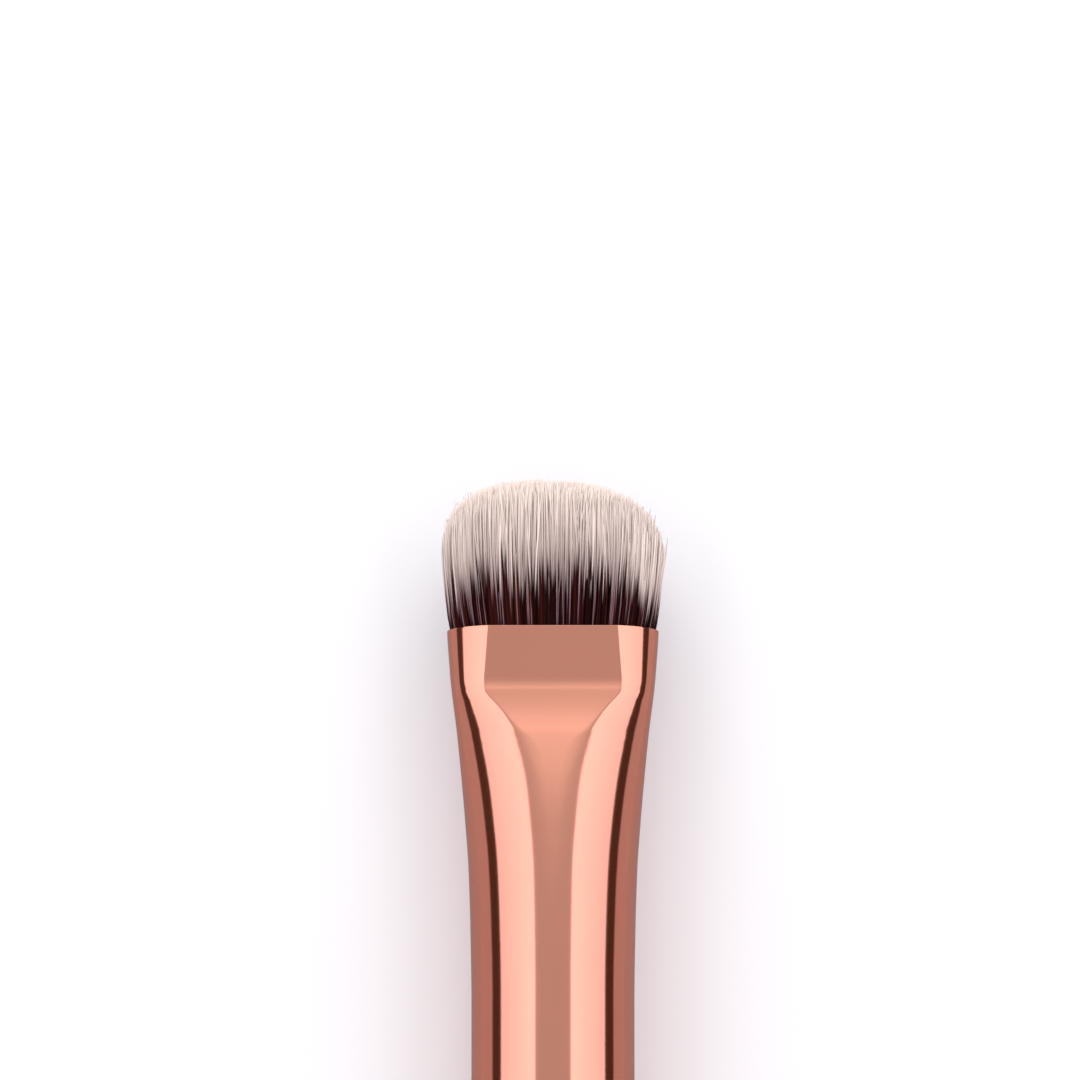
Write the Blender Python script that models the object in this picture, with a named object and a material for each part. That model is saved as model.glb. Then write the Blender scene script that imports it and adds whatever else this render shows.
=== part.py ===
"""Smudger brush, lying on the belly of its handle with the bristles towards +Y.

Lengths are in metres. A depth is measured back from the ferrule's mouth, along -Y, and each
sub-part is modelled about the brush's own axis before it is placed.
"""
import math
import random
from collections import namedtuple

import bmesh
import bpy
from mathutils import Matrix, Vector

# Ferrule: a drawn tube whose front end is pressed flat
TUBE_DIAMETER = 0.0065
FERRULE_LENGTH = 0.0340
FERRULE_WALL = 0.0002
PRESSED_THICKNESS = 0.00304
PRESSED_BAND = 0.0021
FLAT_FLARE = 0.00014
THICKNESS_FADE = 0.0120
FLAT_FADE = 0.0080
WIDTH_FADE = 0.0149
EDGE_ROUNDING = 0.00006
CREASE_ANGLE = math.radians(14)
FERRULE_SIDES = 40

# Crimps that lock the ferrule on the handle's tenon
CRIMP_COUNT = 2
CRIMP_DEPTH = 0.00012
CRIMP_WIDTH = 0.0009
CRIMP_SPACING = 0.0021
CRIMP_INSET = 0.0052

# Bristle tuft
TUFT_LENGTH = 0.0062
TUFT_CROWN = 0.0031
TUFT_LEAN = 0.00015
TUFT_FLARE = 0.00030
TUFT_SWELL = 0.00022
ROOT_RECESS = 0.0005
ROOT_SLICE = 0.0016
STRAND_RISE = 0.00012
STRAND_COLUMNS = 40
STRAND_ROWS = 11
LENGTH_SCATTER = 0.00028
SIDE_SCATTER = 0.00001

# Roots set in epoxy behind the tuft, and the thread wound round them
PLUG_LENGTH = 0.0096
THREAD_INSET = 0.0020
THREAD_WIDTH = 0.0013
THREAD_THICKNESS = 0.00036
THREAD_SIDES = 24

# Handle: turned wood with a tenon in the ferrule
HANDLE_LENGTH = 0.1260
SHOULDER_STEP = 0.0002
BELLY_DIAMETER = 0.0086
BELLY_RISE = 0.0200
BELLY_LENGTH = 0.0360
TAIL_DIAMETER = 0.0047
TAIL_ROUNDING = 0.0026
TAIL_FLAT_DIAMETER = 0.0024
SHOULDER_ROUNDING = 0.00025
TENON_LENGTH = 0.0140
TENON_CHAMFER = 0.0007
HANDLE_SIDES = 24

# Glue round the tenon's nose
GLUE_LENGTH = 0.0003

# Clearance between a piece and the one that holds it
SEAT_GAP = 0.00015
# Rings closer together than this are one ring
LEAST_RING_STEP = 0.00004

# Shares of the fade lengths, with the share of the round tube reached there
THICKNESS_SHARES = ((0, 0), (0.04, 0.035), (0.08, 0.08), (0.12, 0.13), (0.16, 0.21), (0.2, 0.32),
                    (0.3, 0.555), (0.37, 0.675), (0.44, 0.765), (0.52, 0.835), (0.62, 0.9),
                    (0.8, 0.965), (1, 1))
WIDTH_SHARES = ((0, 0), (0.1, 0.1), (0.15, 0.165), (0.27, 0.39), (0.4, 0.585), (0.54, 0.765),
                (0.64, 0.87), (0.8, 0.95), (1, 1))
FLAT_SHARES = ((0, 0), (0.07, 0.03), (0.1, 0.1), (0.17, 0.58), (0.22, 0.72), (0.32, 0.75),
               (0.42, 0.83), (0.65, 0.98), (1, 1))
RING_SHARES = (0, 0.03, 0.06, 0.085, 0.115, 0.15, 0.2, 0.27, 0.36, 0.48, 0.62, 0.8, 1)

# Shares of the taper behind the belly, with the share of the fall to the tail reached there
TAPER_SHARES = ((0, 0), (0.18, 0.07), (0.45, 0.42), (0.72, 0.8), (1, 1))
TAPER_RING_SHARES = (0, 0.08, 0.18, 0.3, 0.42, 0.55, 0.7, 0.85, 1)
RISE_SHARES = ((0, 0), (0.35, 0.52), (0.7, 0.9), (1, 1))
RISE_RING_SHARES = (0.12, 0.28, 0.48, 0.72, 1)

# Shares that shape one strand: where its pale tip starts, its radius as a share of its cell's
# side, and how far it leans as a share of the step between columns. The power says how early on
# its way to the tip it spreads.
SHOULDER_SHARE = 0.38
SHOULDER_SCATTER_SHARE = 0.04
SPREAD_POWER = 0.6
STRAND_RADIUS_SHARE = 0.38
STAGGER_SHARE = 0.25
GRID_CORNER_ANGLE = math.radians(50)
STRAND_TWIST = math.radians(8)

# The crown's outline is a superellipse across the tuft, and drops less through its thickness
CROWN_POWER = 2.4
THICKNESS_DROP_SHARE = 0.5

TAIL_STEPS = 3
SMOOTH_ANGLE = math.radians(35)
SEED = 8

# A section across the axis: flat above and below, with an elliptic arc at each end that meets
# the flat at the crease angle
Section = namedtuple("Section", "half_width half_thickness flat_half crease")


def clear_scene():
    """Remove what the scene holds before the brush is modelled."""
    for old in list(bpy.data.objects):
        bpy.data.objects.remove(old, do_unlink=True)


def material(name, colour, roughness, metallic=0.0, coat=0.0):
    """A Principled BSDF with one colour and finish."""
    made = bpy.data.materials.new(name)
    made.use_nodes = True
    shader = made.node_tree.nodes["Principled BSDF"]
    shader.inputs["Base Color"].default_value = (*colour, 1)
    shader.inputs["Roughness"].default_value = roughness
    shader.inputs["Metallic"].default_value = metallic
    shader.inputs["Coat Weight"].default_value = coat
    made.diffuse_color = (*colour, 1)
    return made


def place(name, bm, depth, carrier, *materials):
    """Make an object of a bmesh, at its depth on the axis that carries it."""
    bmesh.ops.recalc_face_normals(bm, faces=bm.faces)
    if bm.calc_volume(signed=True) < 0:
        bmesh.ops.reverse_faces(bm, faces=bm.faces)
    mesh = bpy.data.meshes.new(name)
    bm.to_mesh(mesh)
    bm.free()
    for finish in materials:
        mesh.materials.append(finish)
    mesh.shade_smooth()
    mesh.set_sharp_from_angle(angle=SMOOTH_ANGLE)
    piece = bpy.data.objects.new(name, mesh)
    bpy.context.collection.objects.link(piece)
    piece.parent = carrier
    piece.location.y = -depth
    return piece


def share_at(shares, where):
    """Height of the smooth rising curve through (place, height) shares."""
    if where <= shares[0][0]:
        return shares[0][1]
    if where >= shares[-1][0]:
        return shares[-1][1]
    slopes = []
    for (x0, y0), (x1, y1) in zip(shares, shares[1:]):
        slopes.append((y1 - y0) / (x1 - x0))
    # The tangent at an inner point is the harmonic mean of its slopes, so the curve never overshoots
    tangents = [slopes[0]]
    for before, after in zip(slopes, slopes[1:]):
        tangents.append(2 * before * after / (before + after) if before * after > 0 else 0)
    tangents.append(slopes[-1] / 2)
    tangents[0] /= 2
    for i, slope in enumerate(slopes):
        x0, y0 = shares[i]
        x1, y1 = shares[i + 1]
        if where <= x1:
            span = x1 - x0
            t = (where - x0) / span
            rise = t * t * (3 - 2 * t)
            start = t * (1 - t) * (1 - t) * span * tangents[i]
            end = t * t * (1 - t) * span * tangents[i + 1]
            return y0 + (y1 - y0) * rise + start - end


def spaced(places):
    """Places in order, without those that nearly repeat the one before."""
    kept = []
    for where in sorted(places):
        if not kept or where - kept[-1] > LEAST_RING_STEP:
            kept.append(where)
    return kept


# The ferrule's shape, which the pieces inside it follow


def pressed_flat_half():
    """Half width of the flat that pressing a round tube leaves, with its girth unchanged."""
    return (TUBE_DIAMETER - PRESSED_THICKNESS) * math.pi / 4


def crimp_depths():
    """Depths of the crimps' middles, from the ferrule's rear end forwards."""
    return [FERRULE_LENGTH - CRIMP_INSET - i * CRIMP_SPACING for i in range(CRIMP_COUNT)]


def crimp_squeeze(depth):
    """How far the wall is pushed in at a depth."""
    for middle in crimp_depths():
        off = abs(depth - middle) / CRIMP_WIDTH
        if off < 1 / 2:
            return CRIMP_DEPTH * (1 + math.cos(2 * math.pi * off)) / 2
    return 0


def inset(section, by):
    """The section moved in by a distance all round."""
    return Section(section.half_width - by,
                   section.half_thickness - by * math.cos(section.crease),
                   section.flat_half - by * math.sin(section.crease),
                   section.crease)


def ferrule_section(depth):
    """Outer section of the ferrule at a depth: flat with round ends in front, round behind."""
    radius = TUBE_DIAMETER / 2
    facet = math.pi / FERRULE_SIDES
    flat = pressed_flat_half()
    band_end = min(depth, PRESSED_BAND) / PRESSED_BAND
    flared_flat = flat + FLAT_FLARE * (band_end - 1 / 2)
    behind_band = depth - PRESSED_BAND
    thickness_share = share_at(THICKNESS_SHARES, behind_band / THICKNESS_FADE)
    flat_share = share_at(FLAT_SHARES, behind_band / FLAT_FADE)
    width_share = share_at(WIDTH_SHARES, depth / WIDTH_FADE)
    pressed_half = PRESSED_THICKNESS / 2
    half_width = flat + pressed_half + (radius - flat - pressed_half) * width_share
    half_thickness = pressed_half + (radius * math.cos(facet) - pressed_half) * thickness_share
    flat_half = flared_flat + (radius * math.sin(facet) - flared_flat) * flat_share
    crease = CREASE_ANGLE + (facet - CREASE_ANGLE) * flat_share
    whole = Section(half_width, half_thickness, flat_half, crease)
    return inset(whole, crimp_squeeze(depth))


def arc_axes(section):
    """Middle and semi-axes of the elliptic arc that rounds one end of a section."""
    across = (section.half_width - section.flat_half) / (1 - math.sin(section.crease))
    up = section.half_thickness / math.cos(section.crease)
    return section.half_width - across, across, up


def section_ring(section, depth):
    """Points round a section, with one straight side on top and one below."""
    middle, across, up = arc_axes(section)
    steps = FERRULE_SIDES // 2 - 1
    sweep = math.pi - 2 * section.crease
    ring = []
    for side in (1, -1):
        for i in range(steps + 1):
            angle = section.crease + sweep * i / steps
            out = side * (middle + across * math.sin(angle))
            ring.append(Vector((out, -depth, side * up * math.cos(angle))))
    return ring


def loft(rings, closed=False):
    """Skin rings of equal counts, and either join the last to the first or cap both ends."""
    bm = bmesh.new()
    loops = [[bm.verts.new(point) for point in ring] for ring in rings]
    pairs = list(zip(loops, loops[1:]))
    if closed:
        pairs.append((loops[-1], loops[0]))
    for near, far in pairs:
        for i, corner in enumerate(near):
            bm.faces.new((near[i - 1], corner, far[i], far[i - 1]))
    if not closed:
        bm.faces.new(loops[0])
        bm.faces.new(reversed(loops[-1]))
    return bm


def turned(profile, sides, closed=False):
    """Turn (depth, radius) points round the axis, with a flat side facing down."""
    rings = []
    for depth, radius in profile:
        ring = []
        for i in range(sides):
            angle = 2 * math.pi * (i + 0.5) / sides
            ring.append(Vector((radius * math.sin(angle), -depth, -radius * math.cos(angle))))
        rings.append(ring)
    return loft(rings, closed)


def ferrule_depths():
    """Depths of the ferrule's rings, closest together where its shape changes fastest."""
    depths = [PRESSED_BAND / 2, WIDTH_FADE]
    for share in RING_SHARES:
        depths.append(PRESSED_BAND + THICKNESS_FADE * share)
    for middle in crimp_depths():
        for i in range(-2, 3):
            depths.append(middle + i * CRIMP_WIDTH / 4)
    ends = FERRULE_LENGTH - EDGE_ROUNDING
    return spaced([EDGE_ROUNDING, ends] + [d for d in depths if EDGE_ROUNDING < d < ends])


def make_ferrule(carrier):
    """The metal tube, with both edges eased."""
    rings = []
    mouth = ferrule_section(0)
    rear = ferrule_section(FERRULE_LENGTH)
    depths = ferrule_depths()
    rings.append(section_ring(inset(mouth, EDGE_ROUNDING), 0))
    for depth in depths:
        rings.append(section_ring(ferrule_section(depth), depth))
    rings.append(section_ring(inset(rear, EDGE_ROUNDING), FERRULE_LENGTH))
    rings.append(section_ring(inset(rear, FERRULE_WALL), FERRULE_LENGTH))
    for depth in reversed(depths[1:-1]):
        rings.append(section_ring(inset(ferrule_section(depth), FERRULE_WALL), depth))
    rings.append(section_ring(inset(mouth, FERRULE_WALL), 0))
    metal = material("rose_gold", (0.83, 0.44, 0.33), 0.2, metallic=1)
    place("ferrule", loft(rings, closed=True), 0, carrier, metal)


# Bristle tuft


def row_half_width(section, height):
    """Half width of a section at a height, between its round ends."""
    middle, across, up = arc_axes(section)
    return middle + across * math.sqrt(max(0, 1 - (height / up) ** 2))


def column_half_height(section, out):
    """Half thickness of a section at a distance from its middle."""
    middle, across, up = arc_axes(section)
    if abs(out) < section.flat_half:
        return section.half_thickness
    return up * math.sqrt(max(0, 1 - ((abs(out) - middle) / across) ** 2))


def spread_point(section, across, through):
    """Point of a section at shares from -1 to 1 across its width and through its thickness.

    The grid's corners lie on the round ends, so its rows and columns bend with the section.
    """
    middle, wide, up = arc_axes(section)
    corner_out = middle + wide * math.sin(GRID_CORNER_ANGLE)
    corner_up = up * math.cos(GRID_CORNER_ANGLE)
    return (row_half_width(section, corner_up * through) * across,
            column_half_height(section, corner_out * across) * through)


def root_section():
    """Section of the hair where it lies in the ferrule's mouth."""
    return inset(ferrule_section(ROOT_RECESS), FERRULE_WALL + SEAT_GAP)


def tuft_section():
    """Widest section of the tuft, past the mouth."""
    mouth = ferrule_section(0)
    return Section(mouth.half_width + TUFT_FLARE, mouth.half_thickness + TUFT_SWELL,
                   mouth.flat_half, mouth.crease)


def tip_height(across, through):
    """Height of the domed crown above the mouth, over a place in the tuft."""
    widest = tuft_section()
    x, z = spread_point(widest, across, through)
    out = x / widest.half_width
    up = z / widest.half_thickness
    drop = abs(out) ** CROWN_POWER + THICKNESS_DROP_SHARE * abs(up) ** CROWN_POWER
    crown = max(0, 1 - drop) ** (1 / CROWN_POWER)
    return TUFT_LENGTH - TUFT_CROWN * (1 - crown) - TUFT_LEAN * (1 + out) / 2


def even_share(index, count):
    """Share from -1 to 1 of the way through a row of places."""
    return 2 * index / (count - 1) - 1


def root_cells():
    """The grid of hair roots, and the triangle of each cell that grows a strand, with its shares."""
    bm = bmesh.new()
    bmesh.ops.create_grid(bm, x_segments=STRAND_COLUMNS, y_segments=STRAND_ROWS, size=1)
    bmesh.ops.triangulate(bm, faces=bm.faces, quad_method="FIXED")
    growing = []
    for face in bm.faces:
        centre = face.calc_center_median()
        column = (centre.x + 1) / 2 * STRAND_COLUMNS
        row = (centre.y + 1) / 2 * STRAND_ROWS
        # The triangle in this corner lies along the rim, too thin for a strand
        in_corner = int(column) == STRAND_COLUMNS - 1 and int(row) == 0
        if column % 1 > 1 / 2 and not in_corner:
            # Rows lean a little to either side in turn, so that they close each other's gaps
            lean = STAGGER_SHARE if int(row) % 2 else -STAGGER_SHARE
            across = even_share(int(column) + lean, STRAND_COLUMNS)
            growing.append((face, across, even_share(int(row), STRAND_ROWS)))
    return bm, growing


def grow(bm, face, middle, height, radius, twist):
    """Pull a strand's end out to a place and height, and give it three even sides."""
    end = bmesh.ops.extrude_discrete_faces(bm, faces=[face])["faces"][0]
    centre = end.calc_center_median()
    third = 2 * math.pi / 3

    def turn(corner):
        return math.atan2(corner.co.z - centre.z, corner.co.x - centre.x)

    corners = sorted(end.verts, key=turn)
    first = twist + sum(turn(corner) - third * i for i, corner in enumerate(corners)) / 3
    for i, corner in enumerate(corners):
        angle = first + third * i
        corner.co = Vector((middle.x + radius * math.cos(angle), height,
                            middle.y + radius * math.sin(angle)))
    return end


def add_strand(bm, face, across, through, chance):
    """Grow one strand from its root cell: straight to the mouth, outwards, then to its tip."""
    centre = face.calc_center_median()
    root = Vector((centre.x, centre.z))
    tip = Vector(spread_point(tuft_section(), across, through))
    tip.x += chance.uniform(-SIDE_SCATTER, SIDE_SCATTER)
    tip.y += chance.uniform(-SIDE_SCATTER, SIDE_SCATTER)
    height = tip_height(across, through) - chance.uniform(0, LENGTH_SCATTER)
    pale_from = SHOULDER_SHARE + chance.uniform(-SHOULDER_SCATTER_SHARE, SHOULDER_SCATTER_SHARE)
    spread = root.lerp(tip, pale_from ** SPREAD_POWER)
    twist = chance.uniform(-STRAND_TWIST, STRAND_TWIST)
    radius = STRAND_RADIUS_SHARE * math.sqrt(2 * face.calc_area())
    mouth_end = grow(bm, face, root, STRAND_RISE, radius, 0)
    shoulder = grow(bm, mouth_end, spread, height * pale_from, radius, twist)
    point = bmesh.ops.poke(bm, faces=[shoulder])
    point["verts"][0].co = Vector((tip.x, height, tip.y))
    for side in point["faces"]:
        side.material_index = 1


def make_tuft(carrier):
    """The strands, fused to a slice of the bundle of roots that lies in the ferrule."""
    bm, growing = root_cells()
    section = root_section()
    for corner in bm.verts:
        x, z = spread_point(section, corner.co.x, corner.co.y)
        corner.co = Vector((x, -ROOT_RECESS, z))
    rim = [edge for edge in bm.edges if edge.is_boundary]
    walls = bmesh.ops.extrude_edge_only(bm, edges=rim)["geom"]
    lowered = [part for part in walls if isinstance(part, bmesh.types.BMVert)]
    bmesh.ops.translate(bm, verts=lowered, vec=(0, -ROOT_SLICE, 0))
    below = inset(ferrule_section(ROOT_RECESS + ROOT_SLICE), FERRULE_WALL + SEAT_GAP)
    narrowing = below.half_width / section.half_width
    bmesh.ops.scale(bm, verts=lowered, vec=(narrowing, 1, 1))
    bottom = [edge for edge in bm.edges if edge.is_boundary]
    bmesh.ops.contextual_create(bm, geom=bottom)
    chance = random.Random(SEED)
    for face, across, through in growing:
        add_strand(bm, face, across, through, chance)
    root = material("dyed_filament", (0.045, 0.022, 0.018), 0.6)
    pale = material("pale_filament", (0.72, 0.60, 0.53), 0.6)
    place("bristle_tuft", bm, 0, carrier, root, pale)


# Pieces that the ferrule hides


def plug_front():
    """Depth of the set roots' front face, behind the tuft's slice."""
    return ROOT_RECESS + ROOT_SLICE + SEAT_GAP


def plug_section(depth):
    """Section of the set roots, which fill the ferrule."""
    return inset(ferrule_section(depth), FERRULE_WALL + SEAT_GAP)


def thread_depth():
    """Depth of the middle of the thread's band, near the rear of the set roots."""
    return plug_front() + PLUG_LENGTH - THREAD_INSET


def neck_ends():
    """Depths where the neck under the thread starts and ends."""
    half = THREAD_WIDTH / 2 + SEAT_GAP
    return thread_depth() - half, thread_depth() + half


def neck_radius():
    """Radius of the neck, which takes the thread without making it stand proud."""
    return plug_section(neck_ends()[0]).half_thickness - THREAD_THICKNESS - SEAT_GAP


def neck_section():
    """Round section of the set roots under the thread."""
    radius = neck_radius()
    facet = math.pi / FERRULE_SIDES
    return Section(radius, radius * math.cos(facet), radius * math.sin(facet), facet)


def make_root_plug(carrier):
    """The filament roots set in epoxy, with the neck that the thread is wound on."""
    front = plug_front()
    back = front + PLUG_LENGTH
    neck_front, neck_back = neck_ends()
    depths = [front, neck_front, neck_back, back]
    for depth in ferrule_depths():
        if front < depth < neck_front:
            depths.append(depth)
    rings = []
    for depth in spaced(depths):
        ring = section_ring(plug_section(depth), depth)
        if depth == neck_front:
            rings += [ring, section_ring(neck_section(), depth)]
        elif depth == neck_back:
            rings += [section_ring(neck_section(), depth), ring]
        else:
            rings.append(ring)
    epoxy = material("set_roots", (0.16, 0.09, 0.05), 0.45)
    place("root_plug", loft(rings), 0, carrier, epoxy)


def make_binding_thread(carrier):
    """The thread's turns, as one band round the neck of the set roots."""
    inner = neck_radius() + SEAT_GAP
    outer = inner + THREAD_THICKNESS
    half = THREAD_WIDTH / 2
    eased = THREAD_THICKNESS / 3
    profile = [(-half, inner), (-half, outer - eased), (-half + eased, outer),
               (half - eased, outer), (half, outer - eased), (half, inner)]
    cotton = material("waxed_thread", (0.75, 0.70, 0.60), 0.8)
    band = turned(profile, THREAD_SIDES, closed=True)
    place("binding_thread", band, thread_depth(), carrier, cotton)


def tenon_radius(depth):
    """Radius of the tenon, which the crimps press in with the ferrule."""
    return TUBE_DIAMETER / 2 - FERRULE_WALL - SEAT_GAP - crimp_squeeze(depth)


def tenon_profile():
    """Profile of the tenon from its nose to the handle's shoulder."""
    nose = FERRULE_LENGTH + SEAT_GAP - TENON_LENGTH
    end = FERRULE_LENGTH + SEAT_GAP
    full = nose + TENON_CHAMFER
    profile = [(nose, tenon_radius(nose) - TENON_CHAMFER)]
    depths = [full]
    for depth in ferrule_depths():
        if full < depth < FERRULE_LENGTH - EDGE_ROUNDING:
            depths.append(depth)
    for depth in spaced(depths):
        profile.append((depth, tenon_radius(depth)))
    profile.append((end, tenon_radius(end)))
    return profile


def shoulder_radius():
    """Radius of the handle where the ferrule ends."""
    return TUBE_DIAMETER / 2 + SHOULDER_STEP


def handle_profile():
    """Profile of the handle from its shoulder to its tail."""
    shoulder = shoulder_radius()
    belly = BELLY_DIAMETER / 2
    tail = TAIL_DIAMETER / 2
    tail_flat = TAIL_FLAT_DIAMETER / 2
    start = FERRULE_LENGTH + SEAT_GAP
    end = start + HANDLE_LENGTH
    profile = [(start, shoulder - SHOULDER_ROUNDING), (start + SHOULDER_ROUNDING, shoulder)]
    for share in RISE_RING_SHARES:
        radius = shoulder + (belly - shoulder) * share_at(RISE_SHARES, share)
        profile.append((start + BELLY_RISE * share, radius))
    taper_start = start + BELLY_RISE + BELLY_LENGTH
    taper_length = end - TAIL_ROUNDING - taper_start
    for share in TAPER_RING_SHARES:
        radius = belly + (tail - belly) * share_at(TAPER_SHARES, share)
        profile.append((taper_start + taper_length * share, radius))
    for i in range(1, TAIL_STEPS + 1):
        angle = math.pi / 2 * i / TAIL_STEPS
        radius = tail_flat + (tail - tail_flat) * math.cos(angle)
        profile.append((end - TAIL_ROUNDING * (1 - math.sin(angle)), radius))
    return profile


def make_handle(carrier):
    """The turned handle and its tenon, in one piece of wood."""
    lacquer = material("black_lacquer", (0.012, 0.010, 0.010), 0.25, coat=1)
    place("handle", turned(tenon_profile() + handle_profile(), HANDLE_SIDES), 0, carrier, lacquer)


def make_tenon_glue(carrier):
    """The bead of glue in the corner between the tenon's chamfer and the ferrule's wall."""
    nose = FERRULE_LENGTH + SEAT_GAP - TENON_LENGTH
    outer = tenon_radius(nose)
    slant = SEAT_GAP * math.sqrt(2)
    front = nose - GLUE_LENGTH
    back = nose + TENON_CHAMFER - slant
    inner = outer - TENON_CHAMFER - GLUE_LENGTH + slant
    glue = material("clear_glue", (0.60, 0.45, 0.25), 0.3)
    profile = [(front, inner), (front, outer), (back, outer)]
    place("tenon_glue", turned(profile, HANDLE_SIDES, closed=True), 0, carrier, glue)


def brush_axis():
    """The empty that carries every piece: the mouth's centre, with the belly on the ground."""
    length = TUFT_LENGTH + FERRULE_LENGTH + SEAT_GAP + HANDLE_LENGTH
    thickest = max(BELLY_DIAMETER / 2, shoulder_radius())
    height = thickest * math.cos(math.pi / HANDLE_SIDES)
    axis = bpy.data.objects.new("brush_axis", None)
    bpy.context.collection.objects.link(axis)
    axis.matrix_world = Matrix.Translation((0, length / 2 - TUFT_LENGTH, height))
    return axis


def main():
    clear_scene()
    axis = brush_axis()
    make_ferrule(axis)
    make_tuft(axis)
    make_root_plug(axis)
    make_binding_thread(axis)
    make_handle(axis)
    make_tenon_glue(axis)


main()
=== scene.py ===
"""Dresses the smudger brush: plated ferrule, two-tone tuft and lacquered handle.

Lengths are in metres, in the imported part's frame. The brush lies along Y with its bristles towards
+Y, and a depth is measured back from the ferrule's mouth, along -Y.
"""

import logging
import math
from dataclasses import dataclass
from enum import Enum

import bpy
import numpy as np
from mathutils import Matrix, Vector, noise


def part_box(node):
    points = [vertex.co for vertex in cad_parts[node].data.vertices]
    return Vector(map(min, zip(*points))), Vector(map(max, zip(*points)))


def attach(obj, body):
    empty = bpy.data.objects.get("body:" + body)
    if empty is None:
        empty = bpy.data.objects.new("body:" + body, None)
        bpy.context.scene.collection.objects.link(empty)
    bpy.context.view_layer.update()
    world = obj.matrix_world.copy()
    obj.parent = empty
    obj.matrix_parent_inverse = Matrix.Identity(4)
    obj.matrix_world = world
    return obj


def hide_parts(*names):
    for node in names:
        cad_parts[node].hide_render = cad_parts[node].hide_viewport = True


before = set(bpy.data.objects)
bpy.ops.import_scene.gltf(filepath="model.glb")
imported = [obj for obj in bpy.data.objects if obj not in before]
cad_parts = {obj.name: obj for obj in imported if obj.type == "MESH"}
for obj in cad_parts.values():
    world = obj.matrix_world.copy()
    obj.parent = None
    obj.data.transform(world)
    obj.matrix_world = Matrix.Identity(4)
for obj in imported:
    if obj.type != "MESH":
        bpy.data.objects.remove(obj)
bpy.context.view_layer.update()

log = logging.getLogger("smudger_brush")
Piece = bpy.types.Object
Material = bpy.types.Material
Group = bpy.types.NodeTree
Node = bpy.types.Node
Socket = bpy.types.NodeSocket
Pair = tuple[float, float]
Triple = tuple[float, float, float]
Colour = Triple
Shares = tuple[Pair, ...]
Model = tuple[np.ndarray, list[tuple[int, ...]]]
BODY = "root"
BAKE_MAP = "OFBake"
SIDES = {"left": -1, "right": 1}


class Slot(Enum):
    """The record's material slots."""

    METAL = "plated_metal"
    FILAMENT = "filament"
    SET_ROOTS = "set_roots"
    THREAD = "thread"
    WOOD = "lacquered_wood"
    GLUE = "glue"


class Ease(Enum):
    """How a value goes from one end of a ramp to the other."""

    EVEN = "LINEAR"
    SOFT = "SMOOTHSTEP"


# Working in the scene


def deselect_all() -> None:
    """Leave edit mode and deselect everything."""
    if bpy.context.object and bpy.context.object.mode != "OBJECT":
        bpy.ops.object.mode_set(mode="OBJECT")
    bpy.ops.object.select_all(action="DESELECT")


def make_active(piece: Piece) -> None:
    """Select one piece alone and make it the active one.

    Args:
        piece: the piece.
    """
    deselect_all()
    piece.select_set(True)
    bpy.context.view_layer.objects.active = piece


def settle(piece: Piece) -> None:
    """Put a piece's place, turn and scale into its mesh."""
    make_active(piece)
    bpy.ops.object.transform_apply(location=True, rotation=True, scale=True)


def open_edit(piece: Piece) -> None:
    """Open a piece in edit mode, with all of it selected.

    Args:
        piece: the piece.
    """
    make_active(piece)
    bpy.ops.object.mode_set(mode="EDIT")
    bpy.ops.mesh.select_all(action="SELECT")


def close_edit() -> None:
    """Turn all faces of the piece in edit mode outwards, and leave edit mode."""
    bpy.ops.mesh.select_all(action="SELECT")
    bpy.ops.mesh.normals_make_consistent(inside=False)
    bpy.ops.object.mode_set(mode="OBJECT")


def extrude_along(by: float) -> None:
    """Extrude what is selected along the brush, towards the bristles."""
    bpy.ops.mesh.extrude_region_move(TRANSFORM_OT_translate={"value": (0, by, 0)})


def resize(across: float, up: float, middle: Vector) -> None:
    """Size what is selected about a point, by one share across the brush and one upwards."""
    bpy.ops.transform.resize(value=(across, 1, up), center_override=middle)


def apply_modifiers(piece: Piece) -> None:
    """Apply a piece's modifiers in order.

    Args:
        piece: the piece.
    """
    make_active(piece)
    for modifier in list(piece.modifiers):
        bpy.ops.object.modifier_apply(modifier=modifier.name)


def draw_ring(name: str, sides: int, radius: float, middle: Vector, filled: bool = True) -> Piece:
    """Draw a ring that stands across the brush.

    Args:
        name: the new piece's name.
        sides: how many sides it has.
        radius: its radius.
        middle: its middle.
        filled: whether it has a face.

    Returns:
        The piece, with its place in its mesh.
    """
    deselect_all()
    bpy.ops.mesh.primitive_circle_add(vertices=sides, radius=radius, location=middle,
                                      fill_type="NGON" if filled else "NOTHING",
                                      rotation=(math.pi / 2, 0, 0))
    ring = bpy.context.object
    ring.name = name
    settle(ring)
    return ring


def hand_over(piece: Piece, slot: Slot, finish: Material, *nodes: str) -> None:
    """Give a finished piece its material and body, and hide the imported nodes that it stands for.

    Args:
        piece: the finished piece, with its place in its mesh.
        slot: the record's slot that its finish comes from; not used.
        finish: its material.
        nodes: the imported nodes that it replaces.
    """
    piece.data.materials.clear()
    piece.data.materials.append(finish)
    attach(piece, BODY)
    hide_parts(*nodes)


def dress_node(name: str, slot: Slot, finish: Material) -> None:
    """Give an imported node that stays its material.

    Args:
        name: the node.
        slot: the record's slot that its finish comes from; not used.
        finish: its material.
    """
    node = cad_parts[name]
    if not node.material_slots:
        node.data.materials.append(finish)
    for held in node.material_slots:
        held.material = finish


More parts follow.
